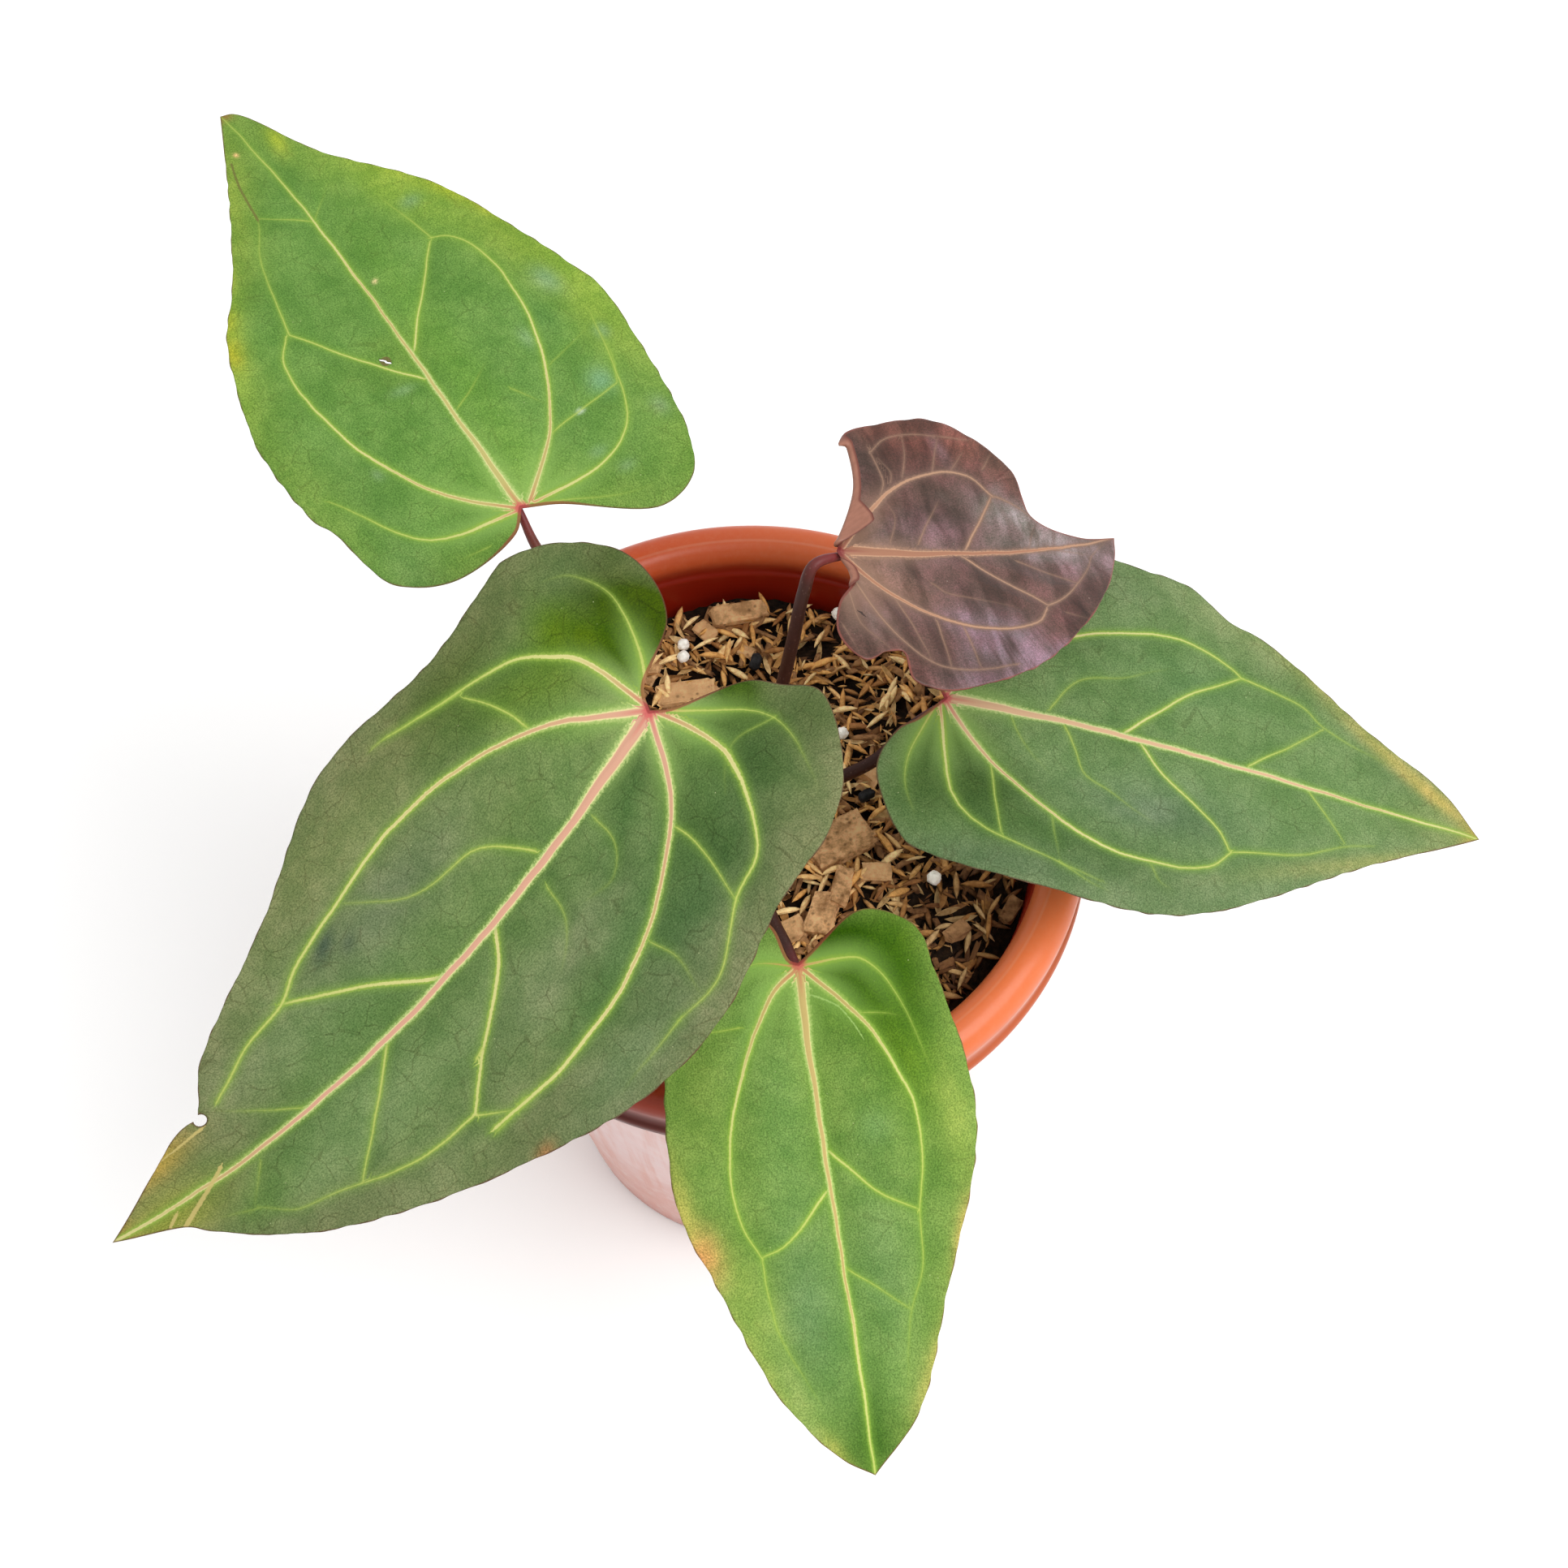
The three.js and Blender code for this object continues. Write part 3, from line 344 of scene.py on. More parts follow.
            (45, 13.5, 5, 4, 0, (118, 158, 100), 0.5), (122, 0, 13, 8, 0, (58, 100, 28), 0.9),
            (88, -11, 22, 9, 0, (98, 134, 90), 0.7), (80, 10, 24, 8, 0, (106, 142, 90), 0.6),
            (-8, -16, 8, 12, 0, (86, 122, 52), 0.7), (110, -16, 18, 2.5, 12, (146, 170, 96), 0.7),
        ],
        holes=[], scars=[(0.25, 0.05, [(9, 2.5), (12.7, 8.6), (17, 11.6), (22, 14)])],
    ),
    "right": dict(
        ground=tint(102, 136, 76), outer=tint(116, 140, 90), outer_reach=18, outer_amount=0.6,
        vein=0.56, midrib=(1.35, 0.42), rib=tint(206, 170, 126), net=0.6,
        rim=tint(104, 74, 54), scar=tint(210, 190, 120), gain=(1.22, 1.11, 1.34, 1),
        washes=[
            (30, -14, 24, 7, -10, (116, 150, 88), 0.6), (20, 24, 30, 10, 20, (102, 132, 78), 0.7),
            (40, 46, 30, 8, 0, (112, 138, 88), 0.7), (90, 40, 30, 8, -20, (128, 150, 88), 0.7),
            (70, -14, 30, 8, 0, (102, 134, 84), 0.6), (30, -36, 34, 6, -8, (84, 118, 58), 0.8),
            (20, -46, 34, 6, 0, (88, 116, 74), 0.8), (-4, -26, 10, 14, 0, (82, 112, 56), 0.9),
            (80, -40, 34, 8, 12, (116, 142, 92), 0.6), (4, 4, 9, 9, 0, (128, 166, 82), 0.7),
            (110, -4, 30, 12, 0, (112, 146, 84), 0.6), (12, 17, 14, 12, 0, (138, 168, 104), 0.8),
            (-6, 6, 12, 10, 0, (144, 174, 104), 0.6), (2, -12, 12, 7, 0, (66, 98, 30), 0.9),
            (12, -25, 16, 9, 0, (62, 92, 38), 0.9), (48, -37, 24, 8, 0, (76, 106, 58), 0.6),
            (60, -22, 22, 7, 0, (100, 122, 92), 0.6), (66, 20, 16, 7, 0, (92, 130, 74), 0.6),
            (161, 0, 6, 6, 0, (222, 170, 76), 1.0), (146, 8, 14, 2.5, -24, (192, 176, 88), 0.9),
            (128, 17, 18, 2.5, -26, (168, 168, 86), 0.8), (106, 31, 14, 2.5, -30, (160, 164, 86), 0.6),
            (126, -17, 34, 2.5, 22, (152, 162, 90), 0.7), (148, 0, 14, 7, 0, (136, 156, 88), 0.6),
        ],
        holes=[], scars=[],
    ),
}

# Section of a blade, in millimetres: half its thickness inland and at the margin, and how soon it thins; the
# raised rib under the midrib; the pillows between the veins; how much less the lobes bend than the rest.
HALF_BLADE = 0.24
EDGE_HALF = 0.07
EDGE_FADE = 0.7
RIB_DEPTH = 1.3
RIB_WIDTH = 2.2
PILLOW = 0.9
PILLOW_REACH = 5.0
LOBE_BEND = 0.4
CURL_STEPS = 9
STALK_END = ((2.5, 2.2), (8, 1.7), (14, 1.2))

# The grid of a blade, finer on the leaf with curled edges, and the steps of each span of a smooth curve.
GRID = 0.95
CURLED_GRID = 0.75
CURVE_STEPS = 12
WELDS_PER_MM = 1000
STALK_SIDES = 24
STEM_SIDES = 64

# How far beyond its ends a vein still shows, and its half width where it is strongest.
VEIN_SLACK = 0.8
VEIN_WIDTH = 1.2

# The pot, as its profile is named in the part.
POT_HEIGHT = 195.0
RIM_RADIUS = 95.0
CREST = 6.3
SKIRT_HEIGHT = 20.5
SKIRT_WALL = 2.4
BASE_RADIUS = 59.5
BASE_ROUND = 2.5
BASE_HOLLOW = 0.6
NECK_RADIUS = 83.5
WALL = 2.4
LEDGE_DROP = 10.0
DRAIN_HOLES = 6
DRAIN_RADIUS = 5.0
DRAIN_RING = 38.0
DRILL_SIDES = 32
POT_SEGMENTS = 192

# The mix and the stem. The painted shadow on the mix, of the rim and the right leaf, is round one place, in
# metres.
MIX_SEED = 4711
MIX_LEVEL = 176.0
MIX_CLEAR = 0.5
BED_RINGS = 80
BED_SEGMENTS = 220
RIM_SHADOW_PLACE = (0.068, -0.032, 0.178)
RIM_SHADOW_TINT = (0.36, 0.3, 0.26, 1)
STEM_CENTRE = np.array([-3.5, 1.2])
STEM_CLEAR = 12.5
STEM_PROFILE = [(5.5, 150), (7.6, 158), (8.4, 168), (9.2, 176), (8.6, 181), (9, 184), (7.8, 188), (6.4, 192),
                (3.4, 195)]

# The stage, in metres, degrees and watts.
FLOOR_HALF = 6.0
LIGHT_TARGET = (0, 0, 0.2)
WORLD_LIGHT = 0.95
CAMERA_RISE = 61.7
CAMERA_AWAY = 0.8047
CAMERA_TARGET = (0.0094, 0.0, 0.20545)
CAMERA_FIELD = 30.0
SENSOR = 36.0


# Meshes

def grid_triangles(index):
    """Two triangles for each cell of a grid of point numbers, facing the way of rows crossed with columns."""
    a, b = index[:-1, :-1].ravel(), index[1:, :-1].ravel()
    c, d = index[1:, 1:].ravel(), index[:-1, 1:].ravel()
    return np.concatenate([np.stack([a, b, c], axis=1), np.stack([a, c, d], axis=1)])


def ring_triangles(index):
    """The same for rows that each close on themselves."""
    return grid_triangles(np.hstack([index, index[:, :1]]))


def closed_rings(points, index):
    """Joins the rows of a grid of point numbers, each a ring that runs anticlockwise as seen from the last
    row's side, and closes the first and the last ring with a fan from its middle."""
    foot, head = len(points), len(points) + 1
    points = np.vstack([points, points[index[0]].mean(axis=0), points[index[-1]].mean(axis=0)])
    turn = np.roll(index, -1, axis=1)
    fans = [np.stack([np.full(index.shape[1], foot), turn[0], index[0]], axis=1),
            np.stack([np.full(index.shape[1], head), index[-1], turn[-1]], axis=1)]
    return points, np.concatenate([ring_triangles(index)[:, ::-1]] + fans)


def weld(points, triangles):
    """Joins the points that lie within a thousandth of a millimetre, and drops the triangles that this closes
    up. Gives the numbers of the points that are still used, and the triangles between them."""
    places = np.round(points * WELDS_PER_MM).astype(np.int64)
    _, first, number = np.unique(places, axis=0, return_index=True, return_inverse=True)
    triangles = number.reshape(-1)[triangles]
    a, b, c = triangles.T
    triangles = triangles[(a != b) & (b != c) & (c != a)]
    used = np.unique(triangles)
    renumber = np.zeros(len(first), int)
    renumber[used] = np.arange(len(used))
    return first[used], renumber[triangles]


def make_piece(name, points, triangles, stands_for=(), material=None, smooth=True):
    """Points in millimetres and triangles become one object at the origin, riding on the part's only body."""
    triangles = np.ascontiguousarray(triangles, dtype=np.int32)
    mesh = bpy.data.meshes.new(name)
    mesh.vertices.add(len(points))
    mesh.vertices.foreach_set("co", (np.asarray(points, float) * MM).astype(np.float32).ravel())
    mesh.loops.add(triangles.size)
    mesh.loops.foreach_set("vertex_index", triangles.ravel())
    mesh.polygons.add(len(triangles))
    mesh.polygons.foreach_set("loop_start", np.arange(0, triangles.size, 3, dtype=np.int32))
    mesh.polygons.foreach_set("use_smooth", np.full(len(triangles), smooth))
    mesh.update(calc_edges=True)
    mesh.validate()
    piece = bpy.data.objects.new(name, mesh)
    bpy.context.scene.collection.objects.link(piece)
    mesh.materials.append(material)
    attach(piece, "root")
    if stands_for:
        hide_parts(*stands_for)
    return piece


def put_attribute(piece, name, values, colour=False):
    """One vector, or one colour, for each point."""
    kind, field = ("FLOAT_COLOR", "color") if colour else ("FLOAT_VECTOR", "vector")
    layer = piece.data.attributes.new(name, kind, "POINT")
    layer.data.foreach_set(field, np.asarray(values, dtype=np.float32).ravel())


def put_map(piece, name, flat):
    """A UV map in metres from one flat place for each point."""
    mesh = piece.data
    corner = np.empty(len(mesh.loops), dtype=np.int32)
    mesh.loops.foreach_get("vertex_index", corner)
    layer = mesh.uv_layers.new(name=name)
    layer.data.foreach_set("uv", (flat[corner] * MM).astype(np.float32).ravel())


def smooth_line(points, steps=CURVE_STEPS):
    """A centripetal Catmull-Rom curve: each span is a cubic whose end slopes come from the neighbouring
    points, weighted by the square roots of the spans' lengths."""
    p = np.asarray(points, float)
    before, first = np.vstack([2 * p[0] - p[1], p[:-2]]), p[:-1]
    last, after = p[1:], np.vstack([p[2:], 2 * p[-1] - p[-2]])

    def gap(a, b):
        return np.maximum(np.sum((b - a) ** 2, axis=1) ** 0.25, 1e-4)[:, None]

    d0, d1, d2 = gap(before, first), gap(first, last), gap(last, after)
    out = ((first - before) / d0 - (last - before) / (d0 + d1) + (last - first) / d1) * d1
    into = ((last - first) / d1 - (after - first) / (d1 + d2) + (after - last) / d2) * d1
    t = (np.arange(steps) / steps)[None, :, None]
    first, last, out, into = (v[:, None, :] for v in (first, last, out, into))
    square = -3 * first + 3 * last - 2 * out - into
    cube = 2 * first - 2 * last + out + into
    line = first + out * t + square * t ** 2 + cube * t ** 3
    return np.vstack([line.reshape(-1, p.shape[1]), p[-1:]])


def run_length(line):
    """The distance along a line from its start to each of its points."""
    return np.concatenate([[0.0], np.cumsum(np.linalg.norm(np.diff(line, axis=0), axis=1))])


def along_line(line, t):
    """The points at the fractions t of a line's length."""
    run = run_length(line)
    return np.stack([np.interp(t * run[-1], run, axis) for axis in line.T], axis=-1)


def nearest(line, flat):
    """For each flat point the distance to a line, the same with a sign that tells its side, and the fraction
    of the line's length where it is nearest."""
    start, step = line[:-1], np.diff(line, axis=0)
    size = np.maximum(np.sum(step ** 2, axis=1), 1e-9)
    best = np.full(len(flat), np.inf)
    side = np.zeros(len(flat))
    place = np.zeros(len(flat))
    run = run_length(line)
    for k in range(len(step)):
        away = flat - start[k]
        t = np.clip(away @ step[k] / size[k], 0, 1)
        distance = np.linalg.norm(away - t[:, None] * step[k], axis=1)
        closer = distance < best
        cross = step[k, 0] * away[:, 1] - step[k, 1] * away[:, 0]
        best = np.where(closer, distance, best)
        side = np.where(closer, np.sign(cross) * distance, side)
        place = np.where(closer, (run[k] + t * (run[k + 1] - run[k])) / run[-1], place)
    return best, side, place


def tube(path, radii, sides):
    """A round tube: a circle of the given radius carried square to the path, with each end closed on its
    middle. The circle's frame starts level and is turned as little as possible from step to step."""
    way = np.gradient(path, axis=0)
    way /= np.linalg.norm(way, axis=1)[:, None]
    across = np.cross(way[0], UP if abs(way[0, 2]) < 0.9 else np.array([1.0, 0, 0]))
    frames = []
    for direction in way:
        across = across - direction * (across @ direction)
        across /= np.linalg.norm(across)
        frames.append(across)
    across = np.array(frames)
    other = np.cross(way, across)
    angle = np.linspace(0, 2 * np.pi, sides, endpoint=False)
    ring = across[:, None] * np.cos(angle)[None, :, None] + other[:, None] * np.sin(angle)[None, :, None]
    points = path[:, None] + ring * np.asarray(radii)[:, None, None]
    return closed_rings(points.reshape(-1, 3), np.arange(len(path) * sides).reshape(len(path), sides))


# Shaders

class Finish:
    """A procedural material under construction. Each call adds one node and returns what comes out of it."""

    def __init__(self, name):
        self.material = bpy.data.materials.new(name)
        self.material.use_nodes = True
        self.tree = self.material.node_tree
        self.tree.nodes.clear()

    def node(self, kind, inputs, **settings):
        node = self.tree.nodes.new("ShaderNode" + kind)
        for key, value in settings.items():
            setattr(node, key, value)
        for key, value in inputs.items():
            socket = node.inputs[key]
            if isinstance(value, bpy.types.NodeSocket):
                self.tree.links.new(value, socket)
            elif isinstance(value, np.ndarray) and len(value) == 3 and socket.type == "RGBA":
                socket.default_value = (*value, 1.0)
            else:
                socket.default_value = value
        return node

    def math(self, operation, a, b=0.0):
        return self.node("Math", {0: a, 1: b}, operation=operation).outputs[0]

    def times(self, value, *others):
        for other in others:
            value = self.math("MULTIPLY", value, other)
        return value

    def plus(self, a, b):
        return self.math("ADD", a, b)

    def less(self, a, b):
        return self.math("SUBTRACT", a, b)

    def mix(self, amount, a, b, blend="MIX"):
        inputs = {0: amount, 6: a, 7: b}
        return self.node("Mix", inputs, data_type="RGBA", blend_type=blend).outputs[2]

    def stain(self, ground, amount, colour):
        """Multiplies an amount of a colour by another."""
        return self.mix(amount, ground, colour, "MULTIPLY")

    def fade(self, value, low, high, to_low=0.0, to_high=1.0):
        """Goes smoothly from to_low, where value is low, to to_high, where it is high."""
        inputs = {"Value": value, "From Min": low, "From Max": high, "To Min": to_low, "To Max": to_high}
        return self.node("MapRange", inputs, interpolation_type="SMOOTHSTEP").outputs["Result"]

    def shade(self, ground, value, low, high, dark, light):
        """Multiplies a colour by one that goes from dark, where value is low, to light, where it is high."""
        return self.stain(ground, 1.0, self.mix(self.fade(value, low, high), dark, light))

    def noise(self, place, scale, detail=2.0, rough=0.5, bend=0.0):
        inputs = {"Vector": place, "Scale": scale, "Detail": detail, "Roughness": rough, "Distortion": bend}
        return self.node("TexNoise", inputs).outputs[0]

    def cells(self, place, scale, feature="F1"):
        return self.node("TexVoronoi", {"Vector": place, "Scale": scale}, feature=feature).outputs["Distance"]

    def stretch(self, place, scale):
        return self.node("Mapping", {"Vector": place, "Scale": scale}).outputs[0]

    def pair(self, x, y):
        return self.node("CombineXYZ", {0: x, 1: y}).outputs[0]

    def parts(self, vector):
        return self.node("SeparateXYZ", {0: vector}).outputs

    def vector(self, name):
        return self.parts(self.node("Attribute", {}, attribute_name=name).outputs["Vector"])

    def colour(self, name):
        return self.node("Attribute", {}, attribute_name=name).outputs["Color"]

    def object_place(self):
        return self.node("TexCoord", {}).outputs["Object"]

    def map(self, name):
        return self.node("UVMap", {}, uv_map=name).outputs[0]

    def bump(self, height, strength, distance):
        return self.node("Bump", {"Height": height, "Strength": strength, "Distance": distance}).outputs[0]

    def surface(self, **sockets):
        """Ends the material: sockets are the Principled shader's, with _ for a space in a name."""
        inputs = {key.replace("_", " "): value for key, value in sockets.items()}
        shader = self.node("BsdfPrincipled", inputs)
        self.node("OutputMaterial", {"Surface": shader.outputs[0]})
        return self.material


# Leaf skin. place is the blade's own flat map, in metres. Distances to veins, margin and hub are in
# millimetres, and fray is a pair of noises, slow and quick, that make the edges of the markings uneven.

def draw_veins(f, ground, vein, fray, size, wide, skin):
    """Paints one set of veins over the ground: a soft glow, a ragged light fringe, a pale band and, in strong
    veins, a rib of its own colour. All widths grow with the vein's strength."""
    near, side, power = vein
    away = f.math("MAXIMUM", f.math("ABSOLUTE", f.plus(side, fray[0])), f.less(near, VEIN_SLACK))
    band = f.plus(f.times(f.math("POWER", power, 1.3), VEIN_WIDTH * size, wide), 0.05)
    rough = f.times(fray[1], f.plus(power, 0.3), 1.1 * size)
    shown = f.fade(power, 0.0, 0.16)

    glow = f.times(f.fade(away, 1.6 + 1.8 * size, 0.2), f.fade(power, 0.0, 0.8, 0.08, 0.58), shown)
    ground = f.mix(glow, ground, skin["glow"])

    ragged = f.plus(f.less(away, band), f.times(rough, wide, 2.2))
    reach = f.times(f.math("POWER", wide, 1.6), 0.35 + 0.5 * size)
    fringe = f.times(f.fade(ragged, reach, 0.0), f.fade(power, 0.0, 0.6, 0.2, 0.85), shown)
    ground = f.mix(fringe, ground, f.mix(f.fade(power, 0.55, 0.85), skin["lime"], skin["fringe"]))

    over = f.less(f.plus(away, rough), band)
    pale = f.times(f.fade(over, 0.08, -0.22), f.fade(power, 0.0, 0.45, 0.35, 0.95), shown)
    ground = f.mix(pale, ground, f.mix(f.fade(power, 0.3, 0.7), skin["thin"], skin["cream"]))

    half = f.times(f.less(power, 0.38), 1.35 * size, wide)
    rib = f.times(f.fade(f.less(away, half), 0.16, -0.1), f.fade(power, 0.5, 0.68, 0.0, 0.85))
    return f.mix(rib, ground, f.mix(f.fade(power, 0.6, 0.8), skin["line"], skin["rib"])), away


def leaf_net(f, place, run, margin, nearest_vein, breaks):
    """How dark the net of hair-thin lines is: uneven cells between the veins, and short lines square to the
    margin."""
    shift = f.node("TexNoise", {"Vector": place, "Scale": 90.0, "Detail": 2.0}).outputs["Color"]
    shift = f.node("VectorMath", {0: shift, 1: (0.008, 0.008, 0.0)}, operation="MULTIPLY").outputs[0]
    bent = f.node("VectorMath", {0: place, 1: shift}, operation="ADD").outputs[0]
    cells = f.cells(bent, 135, "DISTANCE_TO_EDGE")
    web = f.times(f.fade(cells, 0.032, 0.002), f.fade(nearest_vein, 1, 5))
    steps = f.plus(f.times(run, 0.2), f.times(f.noise(place, 130), 1.2))
    ticks = f.node("TexVoronoi", {"W": steps, "Scale": 1.0}, voronoi_dimensions="1D",
                   feature="DISTANCE_TO_EDGE")
    ticks = f.times(f.fade(ticks.outputs["Distance"], 0.03, 0.004), f.fade(margin, 15, 7))
    return f.times(f.math("MAXIMUM", web, ticks), f.fade(breaks, 0.4, 0.56, 0.25, 1.0)), cells


def leaf_ground(f, place, run, margin, nearest_vein, blotch, net, skin):
    """The blade's ground colours, partly painted sheen and shade from its washes, clouded in three sizes,
    under its net of lines.
    """
    slow, patches, deep = f.noise(place, 48, 2, 0.5), f.noise(place, 125, 3, 0.6), skin["deep"]
    ground = f.colour("wash")
    ground = f.shade(ground, slow, 0.36, 0.64, (deep - 0.02, deep + 0.02, deep - 0.04, 1), (1.1, 1.06, 1.1, 1))
    ground = f.shade(ground, patches, 0.34, 0.66, (deep - 0.03, deep + 0.02, deep - 0.06, 1),
                     (1.12, 1.07, 1.08, 1))
    ground = f.shade(ground, blotch, 0.34, 0.68, (0.93, 0.95, 0.94, 1), (1.06, 1.04, 1.05, 1))
    lines, cells = leaf_net(f, place, run, margin, nearest_vein, patches)
    return f.stain(ground, f.times(lines, net), (0.6, 0.58, 0.52, 1)), cells


def painted_satin_sheen(f, ground, place, run, margin):
    """The young leaf's painted sheen: light and dark streaks across the blade, and painted shade and painted
    light on pleats square to its margin.
    """
    sheen = f.noise(f.stretch(place, (1.0, 0.28, 1.0)), 120, 3, 0.6, 0.4)
    ground = f.shade(ground, sheen, 0.4, 0.6, (0.7, 0.64, 0.62, 1), (1.26, 1.27, 1.36, 1))
    pleat = f.noise(f.pair(f.times(run, 0.55), f.times(margin, 0.05)), 1.0, 2, 0.6)
    by_edge = f.fade(margin, 17, 5)
    ground = f.stain(ground, f.times(f.fade(pleat, 0.48, 0.72), by_edge, 0.6), (0.55, 0.42, 0.38, 1))
    return f.stain(ground, f.times(f.fade(pleat, 0.5, 0.28), by_edge, 0.4), (1.25, 1.25, 1.34, 1))


def leaf_grain(f, ground, place, fold_shading, grain, skin):
    """Painted shade and painted light on the two sides of the fine veins' folds, two fine grains, and pale
    specks in patches.
    """
    ground = f.stain(ground, f.fade(fold_shading, 0.0, 1.0, 0.0, 0.5), skin["painted_fold_shade"])
    ground = f.stain(ground, f.fade(fold_shading, 0.0, -1.0, 0.0, 0.5), skin["painted_fold_light"])
    velvet = f.noise(place, 1000, 2, 0.6)
    ground = f.shade(ground, velvet, 0.32, 0.68, (0.94, 0.95, 0.94, 1), (1.06, 1.05, 1.06, 1))
    ground = f.shade(ground, grain, 0.3, 0.7, (0.66, 0.7, 0.64, 1), (1.34, 1.29, 1.34, 1))
    speck = f.times(f.fade(f.cells(place, 330), 0.07, 0.02), f.fade(f.noise(place, 200), 0.52, 0.64, 0.0, 0.6))
    return f.mix(speck, ground, skin["speck"])


def leaf_veins(f, ground, main, fine, hub, fray, size, skin):
    """The fine veins, the main veins, wider and in a pale glow near the junction, and the crimson blush
    there."""
    near_hub = f.times(f.fade(hub, 34, 6, 0.0, 0.7), f.fade(main[0], 7, 0.5))
    ground = f.mix(near_hub, ground, skin["near_hub"])
    ground, _ = draw_veins(f, ground, fine, fray, size, 1.0, skin)
    wide = f.fade(hub, 40, 3, 1.0, skin["hub_width"])
    ground, away = draw_veins(f, ground, main, fray, size, wide, skin)
    core = f.fade(away, f.plus(f.times(main[2], 0.5 * size), 0.3), 0.1)
    ground = f.mix(f.times(core, f.fade(hub, 11, 2), 0.5), ground, skin["crimson"])
    blush = f.fade(f.plus(hub, f.times(fray[1], 2.5)), 2.0 + 1.6 * size, 0.8)
    return f.mix(blush, ground, skin["crimson"]), away


def draw_scars(f, ground, scar, fray, colour):
    """Ragged pale lines where the skin is torn."""
    near, side, power = scar
    away = f.math("MAXIMUM", f.math("ABSOLUTE", side), f.less(near, VEIN_SLACK))
    away = f.less(f.plus(away, f.times(fray[1], 0.9)), f.times(power, 0.6))
    return f.mix(f.times(f.fade(away, 0.25, -0.1), 0.85), ground, colour)


def draw_rim(f, ground, margin, hub, fray, colour, skin):
    """The thin line along the margin, redder and wider near the junction."""
    rim = f.mix(f.fade(hub, 26, 8), colour, skin["hub_rim"])
    reach = f.fade(hub, 24, 6, skin["rim_reach"], 0.85)
    shown = f.fade(f.less(f.plus(margin, f.times(fray[1], 0.4)), reach), 0.22, -0.18)
    return f.mix(f.times(shown, 0.75), ground, rim), rim


def underside(f, place, away, margin, rim, skin):
    """The paler underside, with its veins and its margin."""
    back = f.shade(skin["under"], f.noise(place, 500, 3), 0.35, 0.7, (1, 1, 1, 1), (0.86, 0.85, 0.84, 1))
    back = f.mix(f.fade(away, 1.2, 0.4, 0.0, 0.7), back, skin["under_vein"])
    return f.mix(f.fade(margin, 1.1, 0.2), back, skin.get("under_rim", rim))


def leaf_finish(leaf, look):
    """A velvety blade. Its ground colour, partly painted sheen and shade, comes with the mesh; the shader adds
    mottling, painted shade and light on the sides of the fine veins' folds and, on the young leaf, a painted
    sheen, fine grain, pale specks and a net of hair-thin dark lines, then the veins, the blush at the junction
    and the thin red-brown margin, and last a gain that is partly painted light."""
    f = Finish("blade_skin_" + leaf["name"])
    young, size = leaf["name"] == "young", look["vein"]
    skin = dict(BRONZE_SKIN if young else GREEN_SKIN, rib=look["rib"])
    place = f.map("blade")
    main, fine, scar = f.vector("main_vein"), f.vector("fine_vein"), f.vector("scar")
    margin, hub, run = f.vector("edge")
    fold_shading, under, _ = f.vector("blade_side")
    blotch, grain = f.noise(place, 340, 3, 0.65), f.noise(place, 2200, 2, 0.7)
    fray = f.times(f.less(f.noise(place, 70, 1), 0.5), 1.3), f.less(f.noise(place, 1300, 3, 0.7), 0.5)

    nearest_vein = f.math("MINIMUM", main[0], fine[0])
    ground, cells = leaf_ground(f, place, run, margin, nearest_vein, blotch, look["net"], skin)
    if young:
        ground = painted_satin_sheen(f, ground, place, run, margin)
    ground = leaf_grain(f, ground, place, fold_shading, grain, skin)
    ground, away = leaf_veins(f, ground, main, fine, hub, fray, size, skin)
    ground = draw_scars(f, ground, scar, fray, look["scar"])
    ground, rim = draw_rim(f, ground, margin, hub, fray, look["rim"], skin)
    colour = f.mix(under, ground, underside(f, place, away, margin, rim, skin))

    ridge = f.times(f.fade(away, 1.3, 0.1), main[2])
    relief = f.plus(f.times(grain, 0.2), f.times(f.fade(cells, 0.0, 0.1), 0.08))
    normal = f.bump(f.plus(ridge, relief), 0.4, 0.0004)
    rough = f.fade(blotch, 0.3, 0.7, *skin["rough"])
    # The gain is partly painted light and shade: each leaf's brightness set for the light on its slope.
    return f.surface(Base_Color=f.stain(colour, 1.0, look["gain"]), Roughness=rough, Normal=normal,
                     Specular_IOR_Level=skin["gloss"])


# The other finishes

def stalk_finish():
    """Dark maroon skin with fine pale specks, paler and pinker towards the blade."""
    f = Finish("stalk_skin")
    place = f.object_place()
    rise, hub, paler = f.vector("stalk_place")
    ground = f.mix(f.fade(rise, 0.0, 0.8), tint(62, 24, 12), tint(72, 34, 24))
    ground = f.mix(paler, ground, tint(156, 88, 70))
    ground = f.mix(f.fade(hub, 14, 2), ground, tint(132, 50, 50))
    ground = f.stain(ground, f.fade(f.noise(place, 300, 3), 0.35, 0.7, 0.0, 0.4), (0.62, 0.6, 0.6, 1))
    speck = f.fade(f.cells(f.stretch(place, (1, 1, 0.45)), 1000), 0.26, 0.1)
    ground = f.mix(f.times(speck, 0.3), ground, tint(150, 112, 98))
    normal = f.bump(f.noise(place, 900, 3), 0.25, 0.0003)
    return f.surface(Base_Color=ground, Roughness=0.45, Normal=normal, Specular_IOR_Level=0.25)


def stem_finish():
    """Brown-green stem with paler leaf scars in rings and corky flecks."""
    f = Finish("stem_skin")
    place = f.object_place()
    _, _, z = f.parts(place)
    bands = f.math("SINE", f.plus(f.times(z, 1300.0), f.times(f.noise(place, 90), 5.0)))
    colour = f.mix(f.fade(bands, 0.2, 0.95), tint(84, 66, 44), tint(138, 112, 78))
    colour = f.stain(colour, f.fade(f.noise(place, 500, 4, 0.7), 0.4, 0.7, 0.0, 0.6), (0.5, 0.42, 0.36, 1))
    normal = f.bump(f.plus(bands, f.noise(place, 700, 3)), 0.5, 0.0005)
    return f.surface(Base_Color=colour, Roughness=0.7, Normal=normal, Specular_IOR_Level=0.25)


